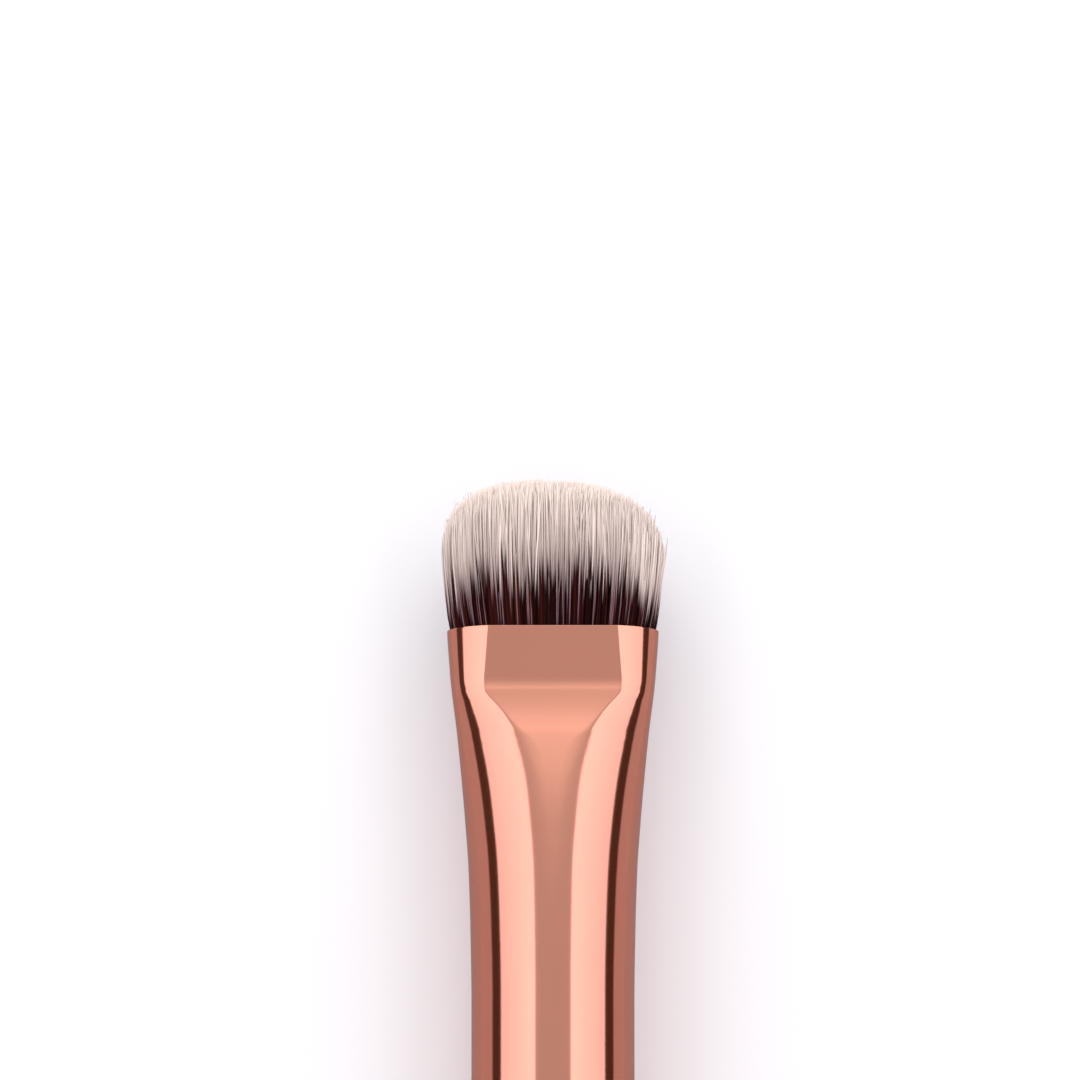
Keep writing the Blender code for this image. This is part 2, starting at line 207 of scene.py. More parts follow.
def share_at(shares: Shares, where: float) -> float:
    """Height of the smooth curve through a few shares.

    Args:
        shares: (place, height) pairs in order of place.
        where: the place to read.

    Returns:
        The height there, or that of the nearest end.
    """
    if where <= shares[0][0]:
        return shares[0][1]
    if where >= shares[-1][0]:
        return shares[-1][1]
    slopes = [(y1 - y0) / (x1 - x0) for (x0, y0), (x1, y1) in zip(shares, shares[1:])]
    # The tangent at an inner point is the harmonic mean of its slopes, so nothing overshoots
    tangents = [slopes[0] / 2]
    for before, after in zip(slopes, slopes[1:]):
        tangents.append(2 * before * after / (before + after) if before * after > 0 else 0)
    tangents.append(slopes[-1] / 2)
    i = max(i for i, (place, _) in enumerate(shares[:-1]) if place <= where)
    (x0, y0), (x1, y1) = shares[i], shares[i + 1]
    span = x1 - x0
    t = (where - x0) / span
    rise = t * t * (3 - 2 * t)
    start = t * (1 - t) * (1 - t) * span * tangents[i]
    end = t * t * (1 - t) * span * tangents[i + 1]
    return y0 + (y1 - y0) * rise + start - end


# Finishes


class Nodes:
    """A node tree being built, with short ways to add a node and to join it up."""

    def __init__(self, tree: Group) -> None:
        """Start with an empty tree."""
        self.tree = tree
        tree.nodes.clear()

    def feed(self, node: Node, inputs: dict) -> None:
        """Feed a node's inputs.

        Args:
            node: the node.
            inputs: a value or a socket for each input, by the input's name or number.
        """
        for key, value in inputs.items():
            if isinstance(value, Socket):
                self.tree.links.new(value, node.inputs[key])
            else:
                node.inputs[key].default_value = value

    def add(self, kind: str, inputs: dict | None = None, **settings: object) -> Node:
        """Add a node, set its options, and feed its inputs.

        Args:
            kind: the node's type name, without the ShaderNode before it.
            inputs: what goes into each input, by the input's name or number.
            settings: the node's own options.

        Returns:
            The node.
        """
        node = self.tree.nodes.new("ShaderNode" + kind)
        for name, value in settings.items():
            setattr(node, name, value)
        self.feed(node, inputs or {})
        return node

    def math(self, operation: str, first: Socket | float, second: Socket | float = 0.0,
             clamp: bool = False) -> Socket:
        """The result of one operation on two values."""
        node = self.add("Math", {0: first, 1: second}, operation=operation, use_clamp=clamp)
        return node.outputs[0]

    def ramp(self, value: Socket, low: Socket | float, high: Socket | float, to_low: float = 0.0,
             to_high: float = 1.0, ease: Ease = Ease.SOFT) -> Socket:
        """Bring a value from one range to another, and hold it at the ends.

        Args:
            value: the value.
            low: where the first range starts.
            high: where the first range ends.
            to_low: what the start becomes.
            to_high: what the end becomes.
            ease: whether the ends are soft.

        Returns:
            The value in the second range.
        """
        ends = {"From Min": low, "From Max": high, "To Min": to_low, "To Max": to_high}
        node = self.add("MapRange", {"Value": value, **ends}, interpolation_type=ease.value)
        return node.outputs[0]

    def mix(self, share: Socket | float, first: Socket | Colour, second: Socket | Colour,
            blend: str = "MIX") -> Socket:
        """Mix two colours.

        Args:
            share: how much of the second goes in.
            first: the first colour.
            second: the second colour.
            blend: the way that they are mixed.

        Returns:
            The mixed colour.
        """
        # The Mix node takes colours by its inputs 6 and 7, and gives one by its output 2
        node = self.add("Mix", {0: share}, data_type="RGBA", blend_type=blend, clamp_factor=True)
        for key, colour in ((6, first), (7, second)):
            whole = (*colour, 1) if isinstance(colour, tuple) else colour
            self.feed(node, {key: whole})
        return node.outputs[2]

    def place(self) -> Socket:
        """The point on the surface, in the object's own coordinates."""
        return self.add("TexCoord").outputs["Object"]

    def bump(self, height: Socket, strength: float, depth: float) -> Socket:
        """The surface's direction where a height raises it by up to a depth."""
        sizes = {"Height": height, "Strength": strength, "Distance": depth}
        return self.add("Bump", sizes).outputs[0]


def start_material(name: str) -> tuple[Material, Nodes, Node]:
    """Make a material with a Principled shader.

    Args:
        name: its name.

    Returns:
        The material, its tree, and the shader joined to its output.
    """
    material = bpy.data.materials.new(name)
    material.use_nodes = True
    nodes = Nodes(material.node_tree)
    shader = nodes.add("BsdfPrincipled")
    nodes.add("OutputMaterial", {"Surface": shader.outputs["BSDF"]})
    return material, nodes, shader


def start_group(name: str, inputs: dict[str, float], output: str) -> tuple[Nodes, Node, Node]:
    """Start a shader node group that puts out one number.

    Args:
        name: the group's name.
        inputs: its number inputs, with their usual values.
        output: its output.

    Returns:
        The group's tree, its input node and its output node.
    """
    tree = bpy.data.node_groups.new(name, "ShaderNodeTree")
    made = Nodes(tree)
    for socket, usual in inputs.items():
        opened = tree.interface.new_socket(socket, in_out="INPUT", socket_type="NodeSocketFloat")
        opened.default_value = usual
    tree.interface.new_socket(output, in_out="OUTPUT", socket_type="NodeSocketFloat")
    return made, tree.nodes.new("NodeGroupInput"), tree.nodes.new("NodeGroupOutput")


def mottle_group() -> Group:
    """Make slow and fine variation over a surface, as a factor round one.

    Returns:
        The group.
    """
    usual = {"Scale": 300.0, "Fineness": 14.0, "Amount": 0.1, "Fine Amount": 0.03}
    made, given, out = start_group("mottle", usual, "Factor")
    slow = made.add("TexNoise", {"Vector": made.place(), "Scale": given.outputs["Scale"],
                                 "Detail": 3.0, "Roughness": 0.5})
    fine_scale = made.math("MULTIPLY", given.outputs["Scale"], given.outputs["Fineness"])
    fine = made.add("TexNoise", {"Vector": made.place(), "Scale": fine_scale, "Detail": 2.0})
    factor = 1.0
    for cloud, amount in ((slow, "Amount"), (fine, "Fine Amount")):
        off = made.math("SUBTRACT", cloud.outputs["Fac"], 0.5)
        factor = made.math("ADD", factor, made.math("MULTIPLY", off, given.outputs[amount]))
    made.feed(out, {"Factor": factor})
    return made.tree


def brushing_group() -> Group:
    """Make fine lines round the brush's axis or along it, as heights from zero to one.

    Returns:
        The group.
    """
    made, given, out = start_group("brushing", {"Across": 400.0, "Along": 30000.0}, "Height")
    across, along = given.outputs["Across"], given.outputs["Along"]
    stretch = made.add("CombineXYZ", {"X": across, "Y": along, "Z": across})
    laid = made.add("VectorMath", {0: made.place(), 1: stretch.outputs[0]}, operation="MULTIPLY")
    lines = made.add("TexNoise", {"Vector": laid.outputs[0], "Scale": 1.0, "Detail": 4.0,
                                  "Roughness": 0.6})
    made.feed(out, {"Height": lines.outputs["Fac"]})
    return made.tree


def end_rub_group() -> Group:
    """Make patchy wear that fades away from one place along the brush.

    Returns:
        The group.
    """
    usual = {"Place": 0.0, "Reach": 0.0005, "Strength": 0.5, "Bare Below": 0.35, "Full Above": 0.65}
    made, given, out = start_group("end_rub", usual, "Mask")
    along = made.add("SeparateXYZ", {"Vector": made.place()}).outputs["Y"]
    off = made.math("ABSOLUTE", made.math("SUBTRACT", along, given.outputs["Place"]))
    near = made.math("SUBTRACT", 1.0, made.math("DIVIDE", off, given.outputs["Reach"]), clamp=True)
    patches = made.add("TexNoise", {"Vector": made.place(), "Scale": 1600.0, "Detail": 3.0})
    patchy = made.ramp(patches.outputs["Fac"], given.outputs["Bare Below"],
                       given.outputs["Full Above"])
    mask = made.math("MULTIPLY", made.math("MULTIPLY", near, patchy), given.outputs["Strength"])
    made.feed(out, {"Mask": mask})
    return made.tree


@dataclass(frozen=True)
class Effects:
    """The shared effects, built once and placed in each material."""

    mottle: Group
    brushing: Group
    end_rub: Group

    @staticmethod
    def build() -> "Effects":
        """Build the shared node groups."""
        return Effects(mottle_group(), brushing_group(), end_rub_group())

    def use(self, nodes: Nodes, group: Group, **values: float) -> Socket:
        """Place a group in a material.

        Args:
            nodes: the material's tree.
            group: the group to place.
            values: its inputs, with underscores for spaces.

        Returns:
            The group's output.
        """
        placed = nodes.add("Group", node_tree=group)
        nodes.feed(placed, {name.replace("_", " "): value for name, value in values.items()})
        return placed.outputs[0]

    def wear(self, nodes: Nodes, *ends: Triple) -> Socket:
        """Wear two ends of a piece.

        Args:
            nodes: the material's tree.
            ends: the place of each end along the brush, how far its wear reaches, and how
                strong it is.

        Returns:
            The mask of the wear.
        """
        first, second = (self.use(nodes, self.end_rub, Place=place, Reach=reach, Strength=strength)
                         for place, reach, strength in ends)
        return nodes.math("ADD", first, second, clamp=True)


@dataclass(frozen=True)
class Finish:
    """What every finish has: a name, a colour and a gloss."""

    name: str
    colour: Colour
    roughness: float

    def start(self) -> tuple[Material, Nodes, Node]:
        """Make the material, as start_material does, with the finish's name.

        Returns:
            The material, its tree, and the shader joined to its output.
        """
        material, nodes, shader = start_material(self.name)
        material.diffuse_color = (*self.colour, 1)
        return material, nodes, shader

    def tinted(self, nodes: Nodes, factor: Socket, colour: Socket | Colour | None = None) -> Socket:
        """The finish's colour, or a given one, made lighter or darker by a factor."""
        grey = nodes.add("CombineXYZ", {0: factor, 1: factor, 2: factor})
        return nodes.mix(1.0, colour or self.colour, grey.outputs[0], "MULTIPLY")


@dataclass(frozen=True)
class PlatedMetal(Finish):
    """Rose-gold plating on a drawn tube, polished, with faint marks of the polishing round it.

    The wear of an end is how far it reaches, and how strong it is.
    """

    mouth: float = 0.0
    rear: float = 0.0
    mouth_wear: Pair = (0.0003, 0.25)
    rear_wear: Pair = (0.0004, 0.3)
    worn_gain: float = 1.12
    line_haze: float = 0.03
    worn_haze: float = 0.08
    line_depth: float = 0.00001

    def make(self, effects: Effects) -> Material:
        """Build the plating's material.

        Args:
            effects: the shared effects.

        Returns:
            The material.
        """
        material, nodes, shader = self.start()
        cloud = effects.use(nodes, effects.mottle, Scale=420.0, Amount=0.05, Fine_Amount=0.02)
        lines = effects.use(nodes, effects.brushing, Across=350.0, Along=26000.0)
        worn = effects.wear(nodes, (self.mouth, *self.mouth_wear), (self.rear, *self.rear_wear))
        pale = tuple(min(1.0, channel * self.worn_gain) for channel in self.colour)
        rough = nodes.math("ADD", nodes.math("MULTIPLY", cloud, self.roughness),
                           nodes.math("MULTIPLY", lines, self.line_haze))
        rough = nodes.math("ADD", rough, nodes.math("MULTIPLY", worn, self.worn_haze))
        nodes.feed(shader, {"Base Color": nodes.mix(worn, self.tinted(nodes, cloud), pale),
                            "Roughness": rough, "Metallic": 1.0,
                            "Normal": nodes.bump(lines, strength=0.03, depth=self.line_depth)})
        return material


@dataclass(frozen=True)
class DyedFilament(Finish):
    """Filament dyed dark from the root up to a line that differs from one dye lot to the next.

    The bake map says where: across it lie the dye lots, from the lowest line to the highest, and up
    it the height above the roots. Each odd lot is of filaments that stay pale far down. Above its
    line a filament has painted shade low down in the tuft, a dark lilac grey for the shade deep
    among the filaments, which clears to its own pale colour at its tip; in an even lot with a low
    line the painted shade ends lower too.
    """

    root_colour: Colour = (0.017, 0.0030, 0.0024)
    # Painted shade: a dark lilac grey that the pale part of a filament takes low down in the tuft,
    # for the shade deep among the filaments
    painted_shade_colour: Colour = (0.15, 0.070, 0.079)
    lots: int = 64
    softness_share: float = 0.09
    painted_shade_shares: Pair = (0.235, 0.87)
    low_line_shares: Pair = (0.3, 0.38)
    painted_shade_lift_share: float = 0.27
    tip_tints: Pair = (0.96, 1.03)
    root_tints: Pair = (0.2, 2.4)
    shine: Pair = (0.02, 0.3)
    haze: Pair = (-0.06, 0.08)

    def make(self, effects: Effects) -> Material:
        """Build the filament's material.

        Args:
            effects: the shared effects, which filaments this fine have no use for.

        Returns:
            The material.
        """
        material, nodes, shader = self.start()
        laid = nodes.add("SeparateXYZ", {0: nodes.add("UVMap", uv_map=BAKE_MAP).outputs["UV"]})
        lot = nodes.math("FLOOR", nodes.math("MULTIPLY", laid.outputs["X"], float(self.lots)))
        odd = nodes.math("MODULO", lot, 2.0)
        line = nodes.math("DIVIDE", nodes.math("SUBTRACT", lot, odd), float(self.lots))
        chance = nodes.add("TexWhiteNoise", {"W": lot}, noise_dimensions="1D")
        picked = nodes.add("SeparateColor", {"Color": chance.outputs["Color"]}).outputs
        above = nodes.math("SUBTRACT", laid.outputs["Y"], line)
        pale = nodes.ramp(above, -self.softness_share, self.softness_share)
        # Painted shade: the pale part darkens to the painted shade colour low down in the tuft, and
        # in an even lot with a low dye line the painted shade is lifted so that it ends lower
        raised_out_of_shade = nodes.ramp(line, *self.low_line_shares, self.painted_shade_lift_share, 0.0, Ease.EVEN)
        raised_out_of_shade = nodes.math("MULTIPLY", raised_out_of_shade, nodes.math("SUBTRACT", 1.0, odd))
        height = nodes.math("ADD", laid.outputs["Y"], raised_out_of_shade)
        clear = nodes.ramp(height, *self.painted_shade_shares, ease=Ease.EVEN)
        tip = self.tinted(nodes, nodes.ramp(picked["Red"], 0.0, 1.0, *self.tip_tints),
                          nodes.mix(clear, self.painted_shade_colour, self.colour))
        root = self.tinted(nodes, nodes.ramp(picked["Green"], 0.0, 1.0, *self.root_tints),
                           self.root_colour)
        rough = [self.roughness + haze for haze in self.haze]
        nodes.feed(shader, {"Base Color": nodes.mix(pale, root, tip),
                            "Roughness": nodes.ramp(picked["Blue"], 0.0, 1.0, *rough),
                            "Specular IOR Level": nodes.ramp(pale, 0.0, 1.0, *self.shine)})
        return material


@dataclass(frozen=True)
class Lacquer(Finish):
    """Gloss lacquer over turned wood: faint turning lines, handling marks, rubbed ends.

    The wear of an end is how far it reaches, and how strong it is.
    """

    shoulder: float = 0.0
    tail: float = 0.0
    shoulder_wear: Pair = (0.0005, 0.35)
    tail_wear: Pair = (0.002, 0.25)
    worn_gain: float = 5
    worn_haze: float = 0.2
    turning_height_share: float = 0.4
    mark_depth: float = 0.0001

    def make(self, effects: Effects) -> Material:
        """Build the lacquer's material.

        Args:
            effects: the shared effects.

        Returns:
            The material.
        """
        material, nodes, shader = self.start()
        cloud = effects.use(nodes, effects.mottle, Scale=120.0, Amount=0.5, Fine_Amount=0.2)
        turning = effects.use(nodes, effects.brushing, Across=90.0, Along=5200.0)
        worn = effects.wear(nodes, (self.shoulder, *self.shoulder_wear),
                            (self.tail, *self.tail_wear))
        bare = tuple(channel * self.worn_gain for channel in self.colour)
        rough = nodes.math("ADD", nodes.math("MULTIPLY", cloud, self.roughness),
                           nodes.math("MULTIPLY", worn, self.worn_haze))
        marks = nodes.math("ADD", nodes.math("MULTIPLY", turning, self.turning_height_share), cloud)
        nodes.feed(shader, {"Base Color": nodes.mix(worn, self.tinted(nodes, cloud), bare),
                            "Roughness": rough, "Coat Weight": 1.0, "Coat Roughness": 0.06,
                            "Normal": nodes.bump(marks, strength=0.05, depth=self.mark_depth)})
        return material


@dataclass(frozen=True)
class Streaked(Finish):
    """A plain finish with streaks along the brush: epoxy over filaments, glue or waxed thread."""

    across: float = 14000.0
    along: float = 300.0
    contrast: float = 0.5
    streak_shares: Pair = (0.3, 0.7)
    depth: float = 0.00002

    def make(self, effects: Effects) -> Material:
        """Build the streaked material.

        Args:
            effects: the shared effects.

        Returns:
            The material.
        """
        material, nodes, shader = self.start()
        streaks = effects.use(nodes, effects.brushing, Across=self.across, Along=self.along)
        cloud = effects.use(nodes, effects.mottle, Scale=500.0, Amount=0.3, Fine_Amount=0.1)
        light = nodes.ramp(streaks, *self.streak_shares, 1 - self.contrast, 1 + self.contrast)
        tint = self.tinted(nodes, nodes.math("MULTIPLY", light, cloud))
        nodes.feed(shader, {"Base Color": tint,
                            "Roughness": nodes.math("MULTIPLY", cloud, self.roughness),
                            "Normal": nodes.bump(streaks, strength=0.4, depth=self.depth)})
        return material


# Shapes


@dataclass(frozen=True)
class Section:
    """A section across the brush: flat above and below, with a full arc at each end.

    The arc is part of an ellipse at a fullness of two, and squarer at more.
    """

    half_width: float
    half_thickness: float
    flat_half: float
    crease: float
    fullness: float

    def inset(self, by: float) -> "Section":
        """Move the section in.

        Args:
            by: how far, all round.

        Returns:
            The smaller section.
        """
        _, across, up = self.arc()
        turn = math.atan(up / across * math.tan(self.crease) ** (2 - 2 / self.fullness))
        return Section(self.half_width - by, self.half_thickness - by,
                       self.flat_half - by * math.tan(turn / 2), self.crease, self.fullness)

    def filled(self, share: float) -> float:
        """A sine or cosine, raised as the arc's fullness asks."""
        return max(0.0, share) ** (2 / self.fullness)

    def arc(self) -> Triple:
        """Find the arc that rounds one end.

        Returns:
            Its middle's distance out, and its semi-axes across and up.
        """
        across = (self.half_width - self.flat_half) / (1 - self.filled(math.sin(self.crease)))
        up = self.half_thickness / self.filled(math.cos(self.crease))
        return self.half_width - across, across, up

    def half_height(self, out: float) -> float:
        """Find half the thickness at one place.

        Args:
            out: the place's distance from the middle.

        Returns:
            Half the thickness there.
        """
        if abs(out) < self.flat_half:
            return self.half_thickness
        middle, across, up = self.arc()
        off = min(1.0, (abs(out) - middle) / across)
        return up * (1 - off ** self.fullness) ** (1 / self.fullness)

    def arc_point(self, angle: float) -> Vector:
        """Point of the right-hand arc at an angle from straight up."""
        middle, across, up = self.arc()
        return Vector((middle + across * self.filled(math.sin(angle)),
                       up * self.filled(math.cos(angle))))

    def outline(self, fillet: float, flat_steps: int, fillet_steps: int,
                arc_steps: int) -> list[Vector]:
        """Lay out the section's outline, with its creases eased.

        Args:
            fillet: how far the easing reaches on either side of a crease.
            flat_steps: steps along half a flat.
            fillet_steps: steps round an eased crease.
            arc_steps: steps along half an arc.

        Returns:
            Points (out, up) all round, from the top's middle and over the right-hand side.
        """
        reach = min(fillet, self.flat_half / 2)
        _, across, _ = self.arc()
        turn = self.crease + reach / across
        start = Vector((self.flat_half - reach, self.half_thickness))
        corner = Vector((self.flat_half, self.half_thickness))
        end = self.arc_point(turn)
        quarter = [Vector((start.x * i / flat_steps, start.y)) for i in range(flat_steps)]
        for i in range(fillet_steps + 1):
            t = i / fillet_steps
            quarter.append(start * (1 - t) ** 2 + corner * 2 * t * (1 - t) + end * t * t)
        for i in range(1, arc_steps + 1):
            quarter.append(self.arc_point(turn + (math.pi / 2 - turn) * i / arc_steps))
        right = quarter + [Vector((p.x, -p.y)) for p in reversed(quarter[:-1])]
        return right + [Vector((-p.x, p.y)) for p in reversed(right[1:-1])]


@dataclass
class Ferrule:
    """The plated tube, pressed flat at its mouth and crimped on the tenon.

    The mouth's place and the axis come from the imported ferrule, and the sizes are its own.
    """

    tube_diameter: float = 0.0065
    length: float = 0.0340
    wall: float = 0.0002
    pressed_thickness: float = 0.00304
    pressed_band: float = 0.0021
    flat_flare: float = 0.00018
    flat_easing: float = 0.00008
    thickness_fade: float = 0.0120
    flat_fade: float = 0.0080
    width_fade: float = 0.0149
    crease_fade: float = 0.0101
    crease_angle: float = math.radians(34)
    facet: float = math.radians(2)
    fillet: float = 0.00005
    rim_rounding: float = 0.00002
    rim_steps: int = 3
    rim_angle: float = math.radians(60)
    crimp_count: int = 2
    crimp_depth: float = 0.00012
    crimp_width: float = 0.0009
    crimp_spacing: float = 0.0021
    crimp_inset: float = 0.0052
    thickness_shares: Shares = ((0, 0), (0.014, 0.003), (0.028, 0.0155), (0.0385, 0.0335),
                                (0.0425, 0.0415), (0.047, 0.0468), (0.08, 0.0895),
                                (0.12, 0.157), (0.16, 0.252), (0.2, 0.363), (0.3, 0.577),
                                (0.37, 0.696), (0.44, 0.783), (0.52, 0.85), (0.62, 0.907),
                                (0.8, 0.966), (1, 1))
    width_shares: Shares = ((0, 0), (0.1, 0.1), (0.15, 0.165), (0.27, 0.39), (0.4, 0.585),
                            (0.54, 0.765), (0.64, 0.87), (0.8, 0.95), (1, 1))
    flat_shares: Shares = ((0, 0), (0.065, 0.005), (0.095, 0.055), (0.125, 0.138), (0.18, 0.284),
                           (0.23, 0.395), (0.29, 0.543), (0.34, 0.683), (0.45, 0.83),
                           (0.56, 0.9), (0.7, 0.945), (1, 1))
    crease_shares: Shares = ((0, 0.75), (0.12, 0.875), (0.22, 0.97), (0.265, 1), (0.28, 0.98),
                             (0.31, 0.86), (0.39, 0.55), (0.44, 0.3), (0.49, 0.09), (0.6, 0.02),
                             (1, 0))
    fullness_gain: float = 1.25
    fullness_shares: Shares = ((0, 0.22), (0.05, 0.27), (0.12, 0.42), (0.19, 0.58), (0.25, 0.7),
                               (0.28, 0.5), (0.31, 0.22), (0.36, 0))
    neck_easing: float = 6.0
    flat_steps: int = 6
    fillet_steps: int = 5
    arc_steps: int = 26
    front_step: float = 0.0001
    ridge_step: float = 0.00005
    ridge_length: float = 0.0010
    rear_step: float = 0.0011

    def __post_init__(self) -> None:
        """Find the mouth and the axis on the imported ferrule."""
        low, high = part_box("ferrule")
        self.mouth = Vector((0, high.y, (low.z + high.z) / 2))

    def at(self, depth: float, out: float = 0.0, up: float = 0.0) -> Vector:
        """The point at a depth behind the mouth, out to the side and up from the axis."""
        return self.mouth + Vector((out, -depth, up))

    def crimp_squeeze(self, depth: float) -> float:
        """Find how far the crimps push the wall in.

        Args:
            depth: the place along the tube.

        Returns:
            How far the wall is pushed in there.
        """
        for i in range(self.crimp_count):
            middle = self.length - self.crimp_inset - i * self.crimp_spacing
            off = abs(depth - middle) / self.crimp_width
            if off < 1 / 2:
                return self.crimp_depth * (1 + math.cos(2 * math.pi * off)) / 2
        return 0.0

    def section(self, depth: float) -> Section:
        """Find the tube's outer section at one place.

        Args:
            depth: the place along the tube.

        Returns:
            The section there.
        """
        radius = self.tube_diameter / 2
        pressed_half = self.pressed_thickness / 2
        # The pressed mouth keeps the girth of the round tube
        flat = (self.tube_diameter - self.pressed_thickness) * math.pi / 4
        band_end = min(depth, self.pressed_band) / self.pressed_band
        flared = flat - self.flat_easing + self.flat_flare * (band_end - 1 / 2)
        behind = depth - self.pressed_band
        thickness_share = share_at(self.thickness_shares, behind / self.thickness_fade)
        flat_share = share_at(self.flat_shares, behind / self.flat_fade)
        crease_share = share_at(self.crease_shares, depth / self.crease_fade)
        fullness_share = share_at(self.fullness_shares, depth / self.crease_fade)
        width_share = share_at(self.width_shares, depth / self.width_fade)
        half_width = flat + pressed_half + (radius - flat - pressed_half) * width_share
        round_half = radius * math.cos(self.facet)
        half_thickness = pressed_half + (round_half - pressed_half) * thickness_share
        flat_half = flared + (radius * math.sin(self.facet) - flared) * flat_share
        crease = self.facet + (self.crease_angle - self.facet) * crease_share
        fullness = 2 + self.fullness_gain * fullness_share
        whole = Section(half_width, half_thickness, flat_half, crease, fullness)
        return whole.inset(self.crimp_squeeze(depth))

    def depths(self) -> list[float]:
        """Find where the tube's rings stand, closest together where its shape changes.

        Returns:
            The rings' depths, from the mouth to the rear.
        """
        # The second ring keeps the rim's rounding from shading the flat behind it
        found = [0.0, self.rim_rounding * 2]
        crimps_from = self.length - self.crimp_inset - self.crimp_count * self.crimp_spacing
        while found[-1] < self.length:
            depth = found[-1]
            fine = depth < self.width_fade or depth > crimps_from
            step = self.front_step if fine else self.rear_step
            if self.pressed_band < depth < self.pressed_band + self.ridge_length:
                step = self.ridge_step
            found.append(depth + step)
        stretch = self.length / found[-1]
        return [depth * stretch for depth in found]

    def outline(self, depth: float) -> list[Vector]:
        """Lay out the tube's outer section, with softer creases on the neck.

        Args:
            depth: the place along the tube.

        Returns:
            Points (out, up) all round, from the top's middle and over the right-hand side.
        """
        soft = 1 - share_at(self.crease_shares, depth / self.crease_fade)
        fillet = self.fillet * (1 + self.neck_easing * soft ** 2)
        return self.section(depth).outline(fillet, self.flat_steps, self.fillet_steps,
                                           self.arc_steps)

    def press(self, corner: bpy.types.MeshVertex, depth: float, outline: list[Vector]) -> None:
        """Press a corner of a round ring to its point of a section's outline.

        Args:
            corner: the corner of a ring with as many corners as the outline has points.
            depth: the section's place along the tube.
            outline: the section's outline.
        """
        angle = math.atan2(corner.co.x, corner.co.z - self.mouth.z)
        point = outline[round(angle / (2 * math.pi) * len(outline)) % len(outline)]
        corner.co = self.at(depth, point.x, point.y)

    def draw_tube(self) -> Piece:
        """Draw a round tube out ring by ring, and press each ring to its section.

        Returns:
            The outer skin, open at both ends.
        """
        depths = self.depths()
        outlines = [self.outline(depth) for depth in depths]
        tube = draw_ring("ferrule_tube", len(outlines[0]), self.tube_diameter / 2, self.mouth,
                         filled=False)
        open_edit(tube)
        for near, far in zip(depths, depths[1:]):
            extrude_along(near - far)
        bpy.ops.object.mode_set(mode="OBJECT")
        for corner in tube.data.vertices:
            depth = self.mouth.y - corner.co.y
            ring = min(range(len(depths)), key=lambda i: abs(depths[i] - depth))
            self.press(corner, depths[ring], outlines[ring])
        return tube

    def build(self) -> Piece:
        """Build the tube with its wall and eased edges.

        Returns:
            The tube.
        """
        tube = self.draw_tube()
        open_edit(tube)
        close_edit()
        wall = tube.modifiers.new("wall", "SOLIDIFY")
        wall.thickness = self.wall
        wall.offset = -1
        wall.use_even_offset = True
        eased = tube.modifiers.new("eased_edges", "BEVEL")
        eased.width = self.rim_rounding
        eased.segments = self.rim_steps
        eased.limit_method = "ANGLE"
        eased.angle_limit = self.rim_angle
        apply_modifiers(tube)
        bpy.ops.object.shade_smooth()
        return tube

    def dress(self, tube: Piece, effects: Effects) -> None:
        """Plate the tube.

        Args:
            tube: the tube.
            effects: the shared effects.
        """
        finish = PlatedMetal("rose_gold_plate", colour=(0.96, 0.41, 0.29), roughness=0.09,
                             mouth=self.mouth.y, rear=self.mouth.y - self.length)
        hand_over(tube, Slot.METAL, finish.make(effects), "ferrule")


